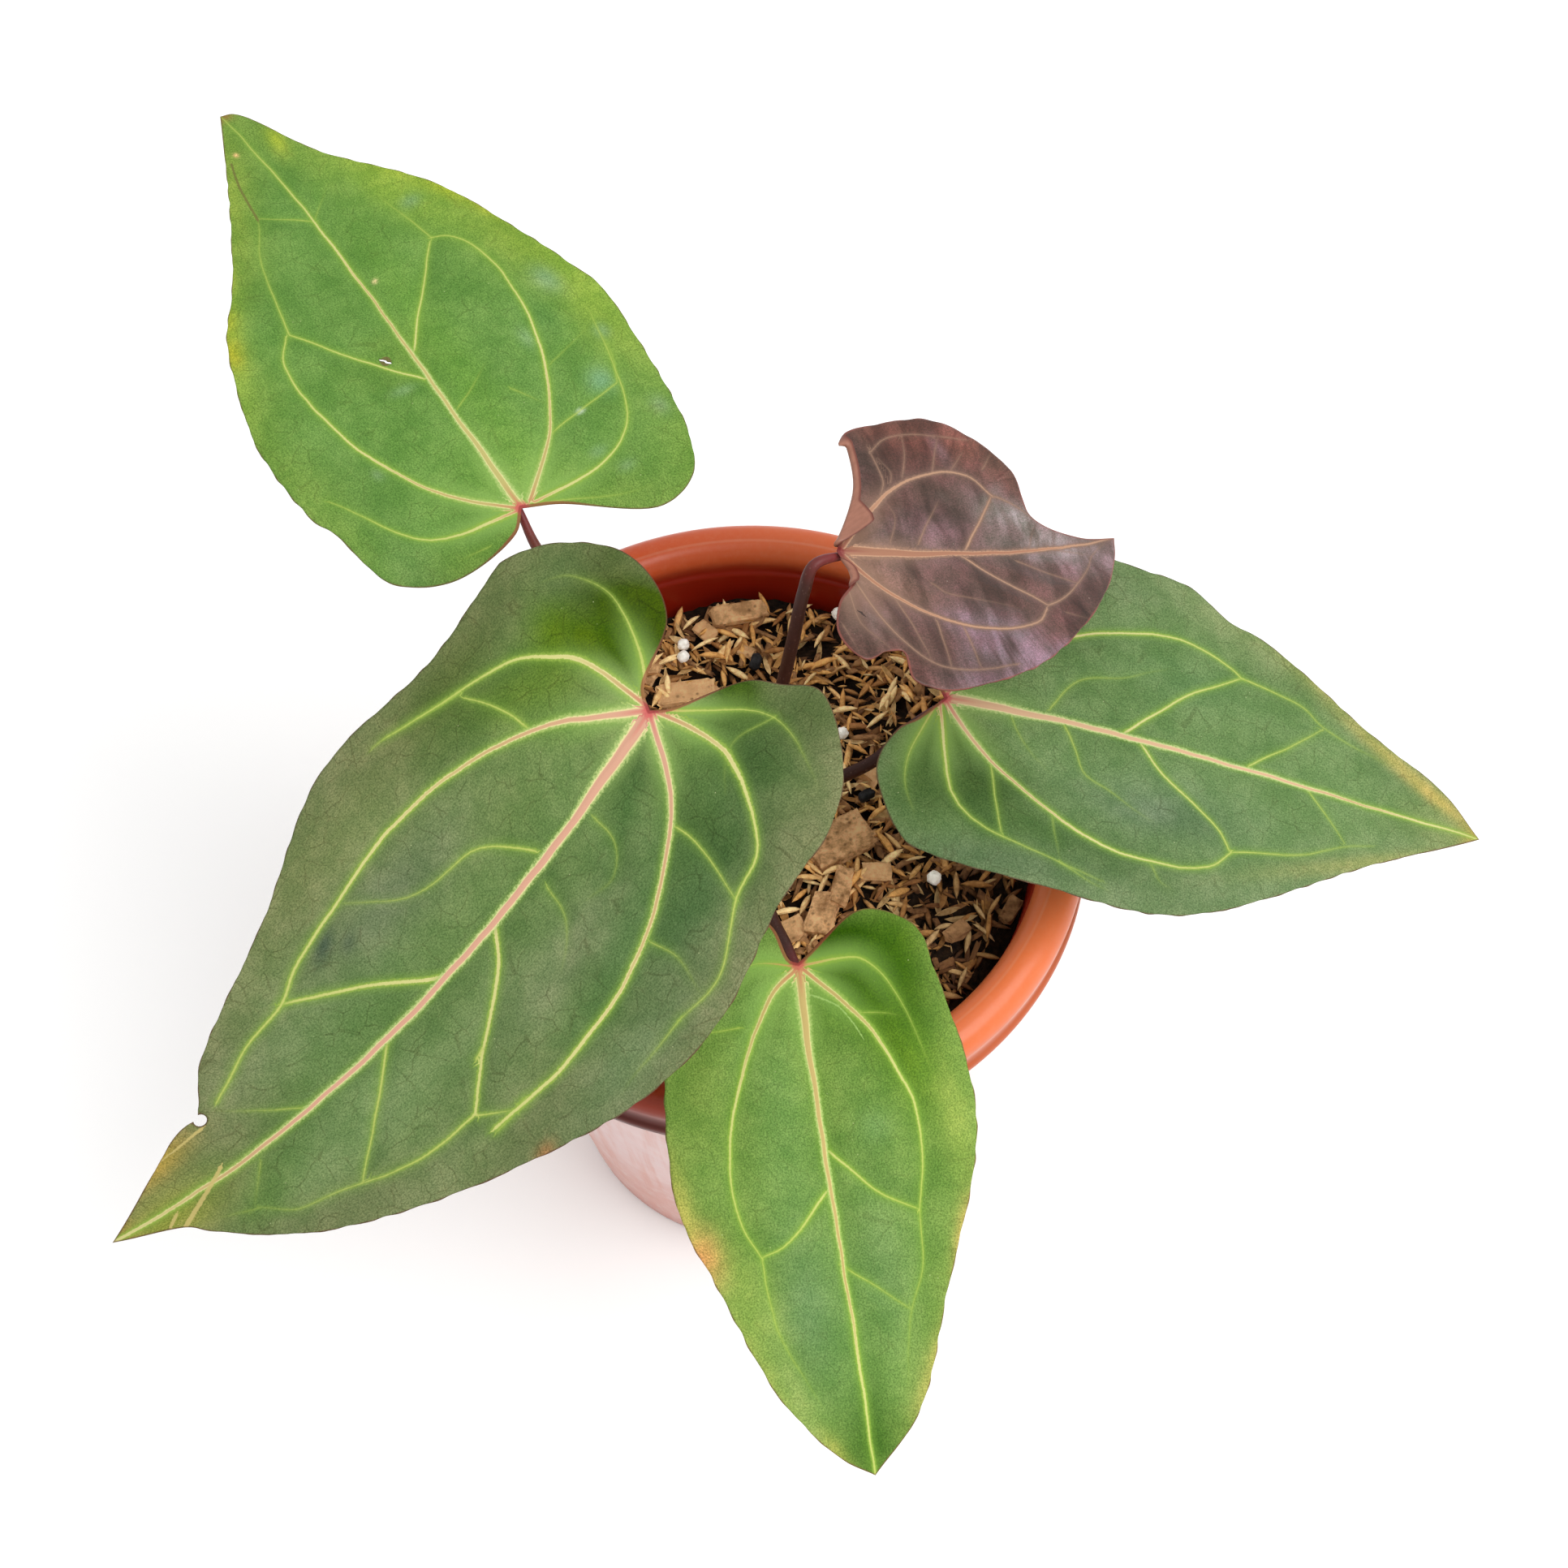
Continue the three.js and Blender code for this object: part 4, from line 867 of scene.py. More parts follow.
def pot_clay(f, place, radius):
    """Terracotta, with painted light: lighter to the right, where the light falls, with a fine mould line on
    the crest, and painted shade at the front left under the front-left leaf, down the skirt and inside. Places
    are in metres."""
    x, y, z = f.parts(place)
    # Painted light: the clay is lighter towards the right, where the light falls.
    toward_light = f.plus(x, f.times(f.noise(place, 18, 3), 0.04))
    clay = f.mix(f.fade(toward_light, -0.05, 0.1), tint(229, 86, 40), tint(255, 131, 76))
    clay = f.mix(f.fade(f.noise(place, 500, 3, 0.7), 0.4, 0.75, 0.0, 0.14), clay, tint(246, 156, 116))
    mould_line = f.fade(f.math("ABSOLUTE", f.less(radius, 0.0867)), 0.0006, 0.0001)
    clay = f.mix(f.times(mould_line, f.fade(z, 0.190, 0.1935), 0.18), clay, tint(250, 190, 160))
    # Painted shadow of the front-left leaf on the rim: the front left is darker.
    shade = f.times(f.fade(y, -0.045, -0.08), f.fade(x, 0.025, -0.02, 0.0, 0.85))
    clay = f.mix(shade, clay, tint(166, 48, 20))
    # Painted shade down the skirt under the crest, deepest on the left.
    skirt = f.times(f.fade(z, 0.1925, 0.1835), f.fade(radius, 0.088, 0.0925), f.fade(x, 0.03, -0.04, 0.4, 1.0))
    clay = f.mix(skirt, clay, tint(104, 26, 6))
    # Painted shade inside the rim, where the leaves above shadow the wall.
    inside = f.times(f.fade(radius, 0.0845, 0.0822), f.fade(z, 0.192, 0.186))
    return f.mix(inside, clay, tint(170, 36, 14))


def pot_pale_wall(f, place):
    """Pale dusty pink, thinner in upright streaks and near the foot, where the terracotta shows."""
    x, y, z = f.parts(place)
    around = f.math("ARCTAN2", y, x)
    streak = f.noise(f.pair(f.times(around, 6.0), f.times(z, 5.0)), 2.2, 4, 0.65)
    pale_wall = f.mix(f.fade(streak, 0.44, 0.72), tint(252, 214, 210), tint(242, 176, 160))
    pale_wall = f.mix(f.fade(z, 0.085, 0.02, 0.0, 0.8), pale_wall, tint(234, 158, 138))
    return f.mix(f.fade(f.noise(place, 260, 4, 0.7), 0.42, 0.75, 0.0, 0.4), pale_wall, tint(252, 234, 230))


def pot_finish():
    """Glossy terracotta plastic, pale dusty pink on the outside of the wall below the skirt."""
    f = Finish("terracotta_plastic")
    place = f.object_place()
    x, y, z = f.parts(place)
    radius = f.node("VectorMath", {0: f.pair(x, y)}, operation="LENGTH").outputs["Value"]
    wall = f.times(f.fade(z, 0.1752, 0.1738), f.fade(z, -0.004, 0.014, 0.55, 1.0))
    outside = f.math("GREATER_THAN", f.less(radius, f.times(z, 0.1322)), 0.0583)
    colour = f.mix(f.times(wall, outside), pot_clay(f, place, radius), pot_pale_wall(f, place))
    rings = f.times(f.math("SINE", f.times(z, 4200.0)), 0.12)
    normal = f.bump(f.plus(f.noise(place, 700, 3), rings), 0.06, 0.0004)
    rough = f.fade(f.noise(place, 60, 3), 0.3, 0.7, 0.28, 0.4)
    return f.surface(Base_Color=colour, Roughness=rough, Normal=normal, Specular_IOR_Level=0.25,
                     Coat_Weight=0.06, Coat_Roughness=0.2)


def rim_shadow(f, place):
    """How much painted shadow darkens the mix: the shadow of the rim and the right leaf, most by the wall on
    the right, in patches.
    """
    away = f.node("VectorMath", {0: place, 1: RIM_SHADOW_PLACE}, operation="DISTANCE").outputs["Value"]
    away = f.plus(away, f.times(f.less(f.noise(place, 70, 2), 0.5), 0.05))
    return f.fade(away, 0.042, 0.018, 0.0, 0.85)


def husk_finish(name, pale, golden, brown):
    """Dry rice husk: golden tan, each its own tone, with painted shade in its hollow and painted shadow by the
    right wall, ribbed lengthwise.
    """
    f = Finish(name)
    tone, ribs, hollow = f.vector("husk")
    place = f.object_place()
    colour = f.mix(f.fade(tone, 0.0, 0.5), brown, golden)
    colour = f.mix(f.fade(tone, 0.5, 1.0), colour, pale)
    streak = f.math("SINE", f.times(ribs, 26.0))
    colour = f.stain(colour, f.fade(streak, -0.4, 1.0, 0.0, 0.35), (0.5, 0.42, 0.35, 1))
    colour = f.stain(colour, f.fade(f.noise(place, 500, 3, 0.7), 0.35, 0.7, 0.0, 0.75), (0.5, 0.4, 0.3, 1))
    # Painted shade in the husk's hollow face.
    colour = f.stain(colour, f.times(hollow, 0.55), (0.42, 0.34, 0.28, 1))
    # Painted shadow of the rim and the right leaf.
    colour = f.stain(colour, rim_shadow(f, place), RIM_SHADOW_TINT)
    normal = f.bump(f.plus(f.times(streak, 0.4), f.noise(place, 1500, 2)), 0.5, 0.0003)
    return f.surface(Base_Color=colour, Roughness=0.62, Normal=normal, Specular_IOR_Level=0.3)


def chip_finish(name, light, dark):
    """Weathered bark: layered fibres in two tones, with dark pits."""
    f = Finish(name)
    place = f.object_place()
    tone, along, _ = f.vector("chip")
    fibre = f.noise(f.pair(f.times(along, 40.0), tone), 3.0, 4, 0.7, 0.6)
    colour = f.mix(f.fade(f.noise(place, 220, 4, 0.7), 0.32, 0.7), dark, light)
    colour = f.mix(f.fade(tone, 0.0, 1.0, 0.0, 0.6), colour, light)
    colour = f.stain(colour, f.fade(fibre, 0.45, 0.7, 0.0, 0.5), (0.6, 0.5, 0.42, 1))
    pits = f.fade(f.cells(place, 380), 0.3, 0.05)
    colour = f.stain(colour, f.times(pits, 0.7), (0.3, 0.24, 0.2, 1))
    # Painted shadow of the rim and the right leaf.
    colour = f.stain(colour, rim_shadow(f, place), RIM_SHADOW_TINT)
    normal = f.bump(f.plus(fibre, f.noise(place, 600, 4, 0.7)), 0.7, 0.0007)
    return f.surface(Base_Color=colour, Roughness=0.85, Normal=normal, Specular_IOR_Level=0.2)


def plain_grit_finish(name, light, dark, scale, rough):
    """A crumbly solid: two tones in a fine noise, with a bump to match."""
    f = Finish(name)
    grit = f.noise(f.object_place(), scale, 5, 0.75)
    colour = f.mix(f.fade(grit, 0.35, 0.7), dark, light)
    normal = f.bump(grit, 0.6, 0.0006)
    return f.surface(Base_Color=colour, Roughness=rough, Normal=normal, Specular_IOR_Level=0.2)


# Leaf blades

def blade_surface(leaf, s, d):
    """A blade's middle surface, s along the midrib and d across it. The midrib is an arc in the upright plane
    of its heading. Across it the blade rises from a valley, the square root of d squared plus the valley's
    width squared, and arches down with the square of d, with a slow sine wave along its margin."""
    bend = math.radians(leaf["droop"]) / leaf["length"] * np.where(s < 0, LOBE_BEND, 1.0)
    start = math.radians(leaf["pitch"])
    pitch = start + bend * s
    heading = math.radians(leaf["heading"])
    flat = np.array([math.cos(heading), math.sin(heading), 0.0])
    level = np.array([-math.sin(heading), math.cos(heading), 0.0])
    along = flat * np.cos(pitch)[..., None] - UP * np.sin(pitch)[..., None]
    roll = math.radians(leaf["roll"])
    side = level * math.cos(roll) + np.cross(along, level) * math.sin(roll)
    up = np.cross(along, side)
    t = np.clip(s / leaf["length"], 0, 1)
    bow = 4 * t * (1 - t) * (leaf["bow"] + leaf["sway"] * (1 - 2 * t))
    width = leaf["valley_width"]
    out = np.minimum(np.abs(d) / leaf["half_width"], 1.3)
    phase = 2 * np.pi * s / leaf["wave_length"] + leaf["wave_phase"] + np.where(d > 0, 0, 1.9)
    lift = leaf["valley"] * (np.hypot(d, width) - width) - leaf["arch"] * (d / leaf["half_width"]) ** 2
    lift = lift + leaf["wave"] * out ** 2 * np.sin(phase)
    arc = flat * ((np.sin(pitch) - math.sin(start)) / bend)[..., None]
    arc = arc + UP * ((np.cos(pitch) - math.cos(start)) / bend)[..., None]
    return np.array(leaf["junction"]) + arc + side * (d + bow)[..., None] + up * lift[..., None]


def blade_normal(leaf, s, d):
    """The upward normal, from small steps along and across."""
    h = 0.1
    along = blade_surface(leaf, s + h, d) - blade_surface(leaf, s - h, d)
    across = blade_surface(leaf, s, d + h) - blade_surface(leaf, s, d - h)
    normal = np.cross(along, across)
    return normal / np.linalg.norm(normal, axis=-1, keepdims=True)


def outline(half):
    """The smooth outline of one half, split at the rearmost point of its lobe."""
    line = smooth_line(half["points"])
    split = CURVE_STEPS * half["turn"]
    return line[:split + 1], line[split:]


def whole_outline(leaf):
    """The blade's outline from the tip round the right half to the junction and back round the left half."""
    inner, outer = outline(leaf["right"])
    return np.vstack([outer[::-1], inner[::-1], *outline(leaf["left"])])


def oval(flat, s, d, reach, width, turn):
    """Flat places as seen from an oval: along and across it, in units of its reach and its width."""
    c, n = math.cos(math.radians(turn)), math.sin(math.radians(turn))
    x, y = flat[..., 0] - s, flat[..., 1] - d
    return (x * c + y * n) / reach, (y * c - x * n) / width


def crimp(run):
    """How far the margin dips in, in millimetres, at a distance along the outline: two sine waves of uneven
    pace."""
    slow, quick = 0.55 * run + 2.1 * np.sin(0.11 * run), 1.3 * run + 3.0 * np.sin(0.07 * run)
    return 0.25 + 0.2 * np.sin(slow) + 0.05 * np.sin(quick)


def grid_size(leaf):
    """The rows and columns of half a blade. Both halves have the same rows, so they join along the midrib."""
    step = GRID * (CURLED_GRID if leaf["left"].get("curl") else 1.0)
    margin = max(run_length(outline(leaf[key])[1])[-1] for key in ("left", "right"))
    return int(margin / step), int(leaf["half_width"] / step)


def half_grid(leaf, half, holes, rim):
    """One half of a blade as rows from the lobe's inner edge to the tip, each from the midrib to the margin.
    A row is straight apart from the shape of the inner edge, which fades out towards the tip. The margin is
    crimped, and points close to a hole's oval move on to it."""
    back, edge = outline(half)
    rows, columns = grid_size(leaf)
    u, v = np.meshgrid(np.linspace(0, 1, rows + 1), np.linspace(0, 1, columns + 1), indexing="ij")
    inner = along_line(back, v) - v[..., None] * edge[0]
    flat = along_line(edge, u) * v[..., None] + inner * (1 - u)[..., None]
    flat[..., 0] += (1 - v) * u * leaf["length"]
    run = nearest(rim, flat[:, -1])[2] * run_length(rim)[-1]
    away = np.linalg.norm(flat[:, -1:] - flat, axis=-1)
    width = away[:, :1]
    dip = crimp(run)[:, None] * np.clip(1 - away / 6, 0, 1) ** 2 * np.clip((width - 6) / 10, 0, 1)
    dip = dip * np.clip(u * 12, 0, 1)
    outward = (flat[:, -1:] - flat[:, -2:-1]) / np.maximum(away[:, -2:-1], 1e-6)[..., None]
    flat = flat - outward * dip[..., None]
    for hole in holes:
        ratio = np.hypot(*oval(flat, *hole))
        close = (ratio > 0.55) & (ratio < 1.45)
        middle = np.array(hole[:2])
        flat[close] = middle + (flat[close] - middle) / ratio[close][:, None]
    return flat


def curled_rows(rows, normals, curl):
    """The rows of an inner edge that rolls over on to the top face: a half turn about a thin roll, then a
    flap that lies back over the blade, as wide as the curl's list says from the junction (0) to the lobe (1).
    A horn pushes the roll outwards at the lobe."""
    v = np.linspace(0, 1, rows.shape[1])
    flap = np.interp(v, *zip(*curl["flap"]))
    radius = curl["radius"] * np.sqrt(np.clip(flap / 0.8, 0, 1))
    horn = curl["horn"] * np.exp(-((v - 0.955) / 0.03) ** 2)
    outward = rows[0] - rows[1]
    outward -= normals[0] * np.sum(outward * normals[0], axis=1)[:, None]
    outward /= np.maximum(np.linalg.norm(outward, axis=1), 1e-6)[:, None]
    extra, facing, gone = [], [], []
    for k in range(2 * CURL_STEPS, 0, -1):
        angle = min(k / CURL_STEPS, 1) * np.pi
        back = max(k / CURL_STEPS - 1, 0) * flap
        push = (radius + horn) * np.sin(angle) - back
        lift = radius * (1 - np.cos(angle)) + 0.3 * back + 0.4 * horn * np.sin(angle)
        extra.append(rows[0] + outward * push[:, None] + normals[0] * lift[:, None])
        facing.append(normals[0] * np.cos(angle) - outward * np.sin(angle))
        gone.append(angle * radius + back)
    return np.array(extra), np.array(facing), np.array(gone)


def blade_half(leaf, key, holes, rim):
    """One half's flat places, points, normals, distances to the margin and triangles, with its curl if it has
    one."""
    flat = half_grid(leaf, leaf[key], holes, rim)
    point = blade_surface(leaf, flat[..., 0], flat[..., 1])
    normal = blade_normal(leaf, flat[..., 0], flat[..., 1])
    margin = nearest(rim, flat.reshape(-1, 2))[0].reshape(flat.shape[:2])
    curl = leaf[key].get("curl")
    if curl:
        extra, facing, gone = curled_rows(point, normal, curl)
        back = np.repeat(flat[:1], len(extra), axis=0)
        back[..., 0] -= gone
        margin = np.vstack([gone.max(axis=0) - gone, margin])
        flat, point, normal = np.vstack([back, flat]), np.vstack([extra, point]), np.vstack([facing, normal])
    faces = grid_triangles(np.arange(margin.size).reshape(margin.shape))
    faces = faces if key == "left" else faces[:, ::-1]
    return flat.reshape(-1, 2), point.reshape(-1, 3), normal.reshape(-1, 3), margin.ravel(), faces


def blade_middle(leaf, holes, rim):
    """The blade's middle surface: both halves joined along the midrib, less the holes."""
    left, right = blade_half(leaf, "left", holes, rim), blade_half(leaf, "right", holes, rim)
    flat, point, normal, margin = (np.concatenate(both) for both in zip(left[:4], right[:4]))
    faces = np.vstack([left[4], right[4] + len(left[0])])
    inside = np.zeros(len(flat), bool)
    for hole in holes:
        inside |= np.hypot(*oval(flat, *hole)) < 1.001
    kept, faces = weld(point, faces[~inside[faces].all(axis=1)])
    flat, margin = flat[kept], margin[kept]
    for s, d, reach, width, _ in holes:
        away = np.hypot(flat[:, 0] - s, flat[:, 1] - d) - (reach + width) / 2
        margin = np.minimum(margin, np.maximum(away, 0))
    return flat, point[kept], normal[kept], margin, faces


def vein_field(veins, flat):
    """Distance, signed distance and strength of the nearest vein. Its strength goes evenly from first to
    last."""
    near = np.full(len(flat), 99.0)
    side = np.full(len(flat), 99.0)
    power = np.zeros(len(flat))
    for first, last, points in veins:
        distance, signed, place = nearest(smooth_line(points, 6), flat)
        closer = distance < near
        near = np.where(closer, distance, near)
        side = np.where(closer, signed, side)
        power = np.where(closer, first + (last - first) * place, power)
    return near, side, power


def blade_faces(leaf, flat, margin, main, fine):
    """How far the top and the underside are from the middle surface. The blade is pillowed between the veins,
    thins at the margin with a square root, and has a bell-shaped rib under the midrib and under each vein."""
    quilt = PILLOW * (1 - np.exp(-(np.minimum(main[0], fine[0] + 1.5) / PILLOW_REACH) ** 2))
    quilt *= np.clip(margin / 12, 0, 1)
    half = EDGE_HALF + (HALF_BLADE - EDGE_HALF) * np.sqrt(np.clip(margin / EDGE_FADE, 0, 1))
    along = np.clip(flat[:, 0] / leaf["length"], 0, 1)
    inland = np.clip(margin / 3, 0, 1)
    rib = RIB_DEPTH * np.exp(-(flat[:, 1] / RIB_WIDTH) ** 2) * (1 - 0.85 * along) * inland
    rib = np.maximum(rib, 0.6 * main[2] * np.exp(-main[0] ** 2) * inland)
    return quilt + half, quilt - half - rib


def doubled_sheet(faces, count):
    """A sheet's faces for its top, the same turned over for its underside, whose points are numbered on from
    count, and a wall along each edge that has a face on one side only."""
    edges = np.vstack([faces[:, [0, 1]], faces[:, [1, 2]], faces[:, [2, 0]]]).astype(np.int64)
    code, other = edges[:, 0] * count + edges[:, 1], edges[:, 1] * count + edges[:, 0]
    a, b = edges[~np.isin(code, other)].T
    return np.vstack([faces, faces[:, ::-1] + count, np.stack([a, a + count, b + count], axis=1),
                      np.stack([a, b + count, b], axis=1)])


def blade_ground(look, flat, margin, run):
    """The ground colour: the leaf's own, its outer zone with a wavy border, and its washes, each a
    bell-shaped oval. The outer zone and the washes are partly the leaf's own colours and partly painted sheen
    and painted shade."""
    zone = np.clip(margin / look["outer_reach"] - 0.16 * (np.sin(run / 17) + np.sin(run / 7.3)), 0, 1)
    outer = look["outer_amount"] * (1 - zone * zone * (3 - 2 * zone))
    ground = look["ground"] + outer[:, None] * (look["outer"] - look["ground"])
    for *place, colour, amount in look["washes"]:
        u, v = oval(flat, *place)
        weight = np.minimum(amount * np.exp(-u ** 2 - v ** 2), 1)
        ground = ground + weight[:, None] * (tint(*colour) - ground)
    return ground


def both_sides(*columns):
    """One row for each point of the top, and the same again for the underside."""
    return np.tile(np.stack(columns, axis=1), (2, 1))


def make_blade(leaf):
    """A closed thin blade with its skin: the middle surface moved up and down, and walls round its edges."""
    look, rim = LOOKS[leaf["name"]], whole_outline(leaf)
    flat, point, normal, margin, faces = blade_middle(leaf, look["holes"], rim)
    midrib = (*look["midrib"], [(0, 0), (leaf["length"] * 0.5, 0), (leaf["length"], 0)])
    main, fine = vein_field([midrib] + leaf["main"], flat), vein_field(leaf["fine"], flat)
    top, low = blade_faces(leaf, flat, margin, main, fine)
    points = np.vstack([point + normal * top[:, None], point + normal * low[:, None]])
    count = len(point)
    blade = make_piece("leaf_blade_" + leaf["name"], points, doubled_sheet(faces, count),
                       ["blade_" + leaf["name"]], leaf_finish(leaf, look))
    run = nearest(rim, flat)[2] * run_length(rim)[-1]
    hub = np.linalg.norm(flat, axis=1)
    # Painted shade and painted light: one side of each fine vein darker and the other lighter, as if lit from
    # one side, fading with distance from the vein.
    fold_shading = np.tanh(np.sign(flat[:, 1]) * fine[1] / 2.0) * np.exp(-fine[0] / 5.5)
    fold_shading = fold_shading * np.clip(fine[2] / 0.25, 0, 1)
    under = np.repeat([0.0, 1.0], count)
    ground = blade_ground(look, flat, margin, run)
    put_attribute(blade, "wash", both_sides(*ground.T, np.ones(count)), colour=True)
    put_attribute(blade, "main_vein", both_sides(*main))
    put_attribute(blade, "fine_vein", both_sides(*fine))
    put_attribute(blade, "edge", both_sides(margin, hub, run))
    put_attribute(blade, "scar", both_sides(*vein_field(look["scars"], flat)))
    put_attribute(blade, "blade_side", np.stack([np.tile(fold_shading, 2), under, 0 * under], axis=1))
    put_map(blade, "blade", np.tile(flat, (2, 1)))


# Stalks and stem

def make_stalk(leaf, material):
    """A round stalk from inside the stem to the underside of the blade. It is stoutest at its foot, narrows
    to a neck below the blade, and thins away into the midrib."""
    under = []
    for s, depth in STALK_END:
        at, across = np.array([float(s)]), np.array([0.0])
        under.append(blade_surface(leaf, at, across)[0] - blade_normal(leaf, at, across)[0] * depth)
    way = smooth_line(list(leaf["stalk"]) + under, 16)
    length = run_length(way)[-1]
    t = np.linspace(0, 1, int(length / 1.1))
    thick = leaf["stalk_radius"]
    radius = np.interp(t * length, [0, 10, 34, length], [thick + 0.8, thick + 0.35, thick, thick * 0.92])
    radius = radius * np.interp((1 - t) * length, [0, 2, 11, 17, 26], [0.25, 0.4, 0.62, 0.78, 1.0])
    points, faces = tube(along_line(way, t), radius, STALK_SIDES)
    stands_for = ["stalk_" + leaf["name"]]
    stalk = make_piece("stalk_skin_" + leaf["name"], points, faces, stands_for, material)
    rise = np.concatenate([np.repeat(t, STALK_SIDES), [0, 1]])
    hub = np.linalg.norm(points - np.array(leaf["junction"]), axis=1)
    paler = np.full(len(points), leaf["stalk_paler"])
    put_attribute(stalk, "stalk_place", np.stack([rise, hub, paler], axis=1))


def make_stem():
    """The short stem: its profile carried round, with leaf scars as low rings and a slight waist between
    them."""
    line = smooth_line(STEM_PROFILE, 10)
    line = np.vstack([line, [(1.0, STEM_PROFILE[-1][1] + 0.4)]])
    angle = np.linspace(0, 2 * np.pi, STEM_SIDES, endpoint=False)
    radius, z = line[:, :1], line[:, 1:]
    scar = 0.35 * np.sin(z * 1.4 + 0.9 * np.sin(angle)) + 0.25 * np.sin(3 * angle + z * 0.3)
    radius = radius + np.where(radius > 1, scar, 0)
    points = np.stack([STEM_CENTRE[0] + radius * np.cos(angle), STEM_CENTRE[1] + radius * np.sin(angle),
                       z + 0 * angle], axis=-1).reshape(-1, 3)
    points, faces = closed_rings(points, np.arange(len(points)).reshape(len(line), STEM_SIDES))
    make_piece("stem_skin", points, faces, ["stem"], stem_finish())


# Pot

def wall_radius(z):
    """The outer radius of the pot's wall at a height: it widens evenly from the base to the neck."""
    return np.interp(z, [BASE_ROUND, POT_HEIGHT - LEDGE_DROP - 1], [BASE_RADIUS, NECK_RADIUS])


def inner_radius(z):
    """The inner radius of the pot's wall at a height."""
    return wall_radius(z) - WALL


def pot_line():
    """The pot's section as pairs of radius and height, from its underside round the outside and the rolled
    rim to its floor. Corners are arcs."""
    crest_z, crest_r = POT_HEIGHT - CREST, RIM_RADIUS - 0.4 - CREST
    lip, ledge, skirt = POT_HEIGHT - SKIRT_HEIGHT, POT_HEIGHT - LEDGE_DROP, RIM_RADIUS - 0.6
    corner, back = BASE_RADIUS - BASE_ROUND, skirt - SKIRT_WALL
    low = [(DRAIN_RING, BASE_HOLLOW), (BASE_RADIUS - 9, BASE_HOLLOW), (BASE_RADIUS - 7, 0), (corner, 0)]
    low += [(corner + BASE_ROUND * math.sin(a), BASE_ROUND - BASE_ROUND * math.cos(a))
            for a in np.linspace(0.2, math.pi / 2, 6)]
    wall = [(wall_radius(z), z) for z in np.linspace(6, 170, 30)]
    under = [(NECK_RADIUS, ledge - 1), (NECK_RADIUS + 1, crest_z - 1.5), (NECK_RADIUS + 2, crest_z)]
    under += [(back - 1, crest_z), (back, crest_z - 1), (back, lip + 0.5), (back + 0.4, lip)]
    under += [(skirt - 1.0, lip), (skirt - 0.6, lip + 0.3), (skirt - 0.6, lip + 1.2)]
    groove = [(skirt - 1.7, lip + 1.9), (skirt - 1.7, lip + 2.3)]
    bead = [(skirt - 1.0 + 1.6 * math.cos(a), lip + 4.6 + 1.9 * math.sin(a))
            for a in np.linspace(-1.3, 1.3, 9)]
    bead = [(min(r, RIM_RADIUS), z) for r, z in bead]
    rolled = [(crest_r + CREST * math.cos(a), crest_z + CREST * math.sin(a))
              for a in np.linspace(-0.1, math.pi, 34)]
    inner = [(crest_r - CREST, ledge + 1.2), (crest_r - CREST - 0.3, ledge + 0.4),
             (NECK_RADIUS - WALL + 0.1, ledge)]
    inner += [(inner_radius(z), z) for z in np.linspace(ledge - 1.2, WALL + BASE_ROUND, 20)]
    floor = [(corner - WALL, WALL), (DRAIN_RING, WALL)]
    return np.array(low + wall + under + groove + bead + rolled + inner + floor)


def make_pot():
    """The pot's section carried round the axis, then drilled for its drain holes."""
    line = pot_line()
    angle = (np.arange(POT_SEGMENTS) + 0.5) * 2 * np.pi / POT_SEGMENTS
    x, y = line[:, :1] * np.cos(angle), line[:, :1] * np.sin(angle)
    points = np.stack([x, y, line[:, 1:] + 0 * angle], axis=-1)
    index = np.arange(len(line) * POT_SEGMENTS).reshape(len(line), POT_SEGMENTS)
    points, faces = closed_rings(points.reshape(-1, 3), index)
    drill(make_piece("pot_shell", points, faces, ["pot"], pot_finish()))


def drill(pot):
    """Cuts the drain holes: a ring of round drills, joined in one mesh, taken away from the pot."""
    points, faces = [], []
    for number in range(DRAIN_HOLES):
        turn = number * 2 * np.pi / DRAIN_HOLES
        middle = np.array([DRAIN_RING * math.cos(turn), DRAIN_RING * math.sin(turn), 0.0])
        path = middle + UP * np.array([-3.0, WALL + 3.0])[:, None]
        point, face = tube(path, [DRAIN_RADIUS] * 2, DRILL_SIDES)
        faces.append(face + number * len(point))
        points.append(point)
    mesh = bpy.data.meshes.new("drills")
    mesh.from_pydata((np.vstack(points) * MM).tolist(), [], np.vstack(faces).tolist())
    drills = bpy.data.objects.new("drills", mesh)
    bpy.context.scene.collection.objects.link(drills)
    cut = pot.modifiers.new("drain_holes", "BOOLEAN")
    cut.operation = "DIFFERENCE"
    cut.object = drills
    shape = bpy.data.meshes.new_from_object(pot.evaluated_get(bpy.context.evaluated_depsgraph_get()))
    pot.modifiers.clear()
    pot.data = shape
    bpy.data.objects.remove(drills)


# Potting mix

def mix_level(x, y):
    """The level of the mix at a place: a low mound with gentle hollows."""
    swell = np.sin(x / 13 + 1.3) * np.cos(y / 11 - 0.4) + 0.6 * np.sin(x / 6.1 - y / 7.3)
    return MIX_LEVEL + 1.6 * swell - 0.0003 * (x * x + y * y)


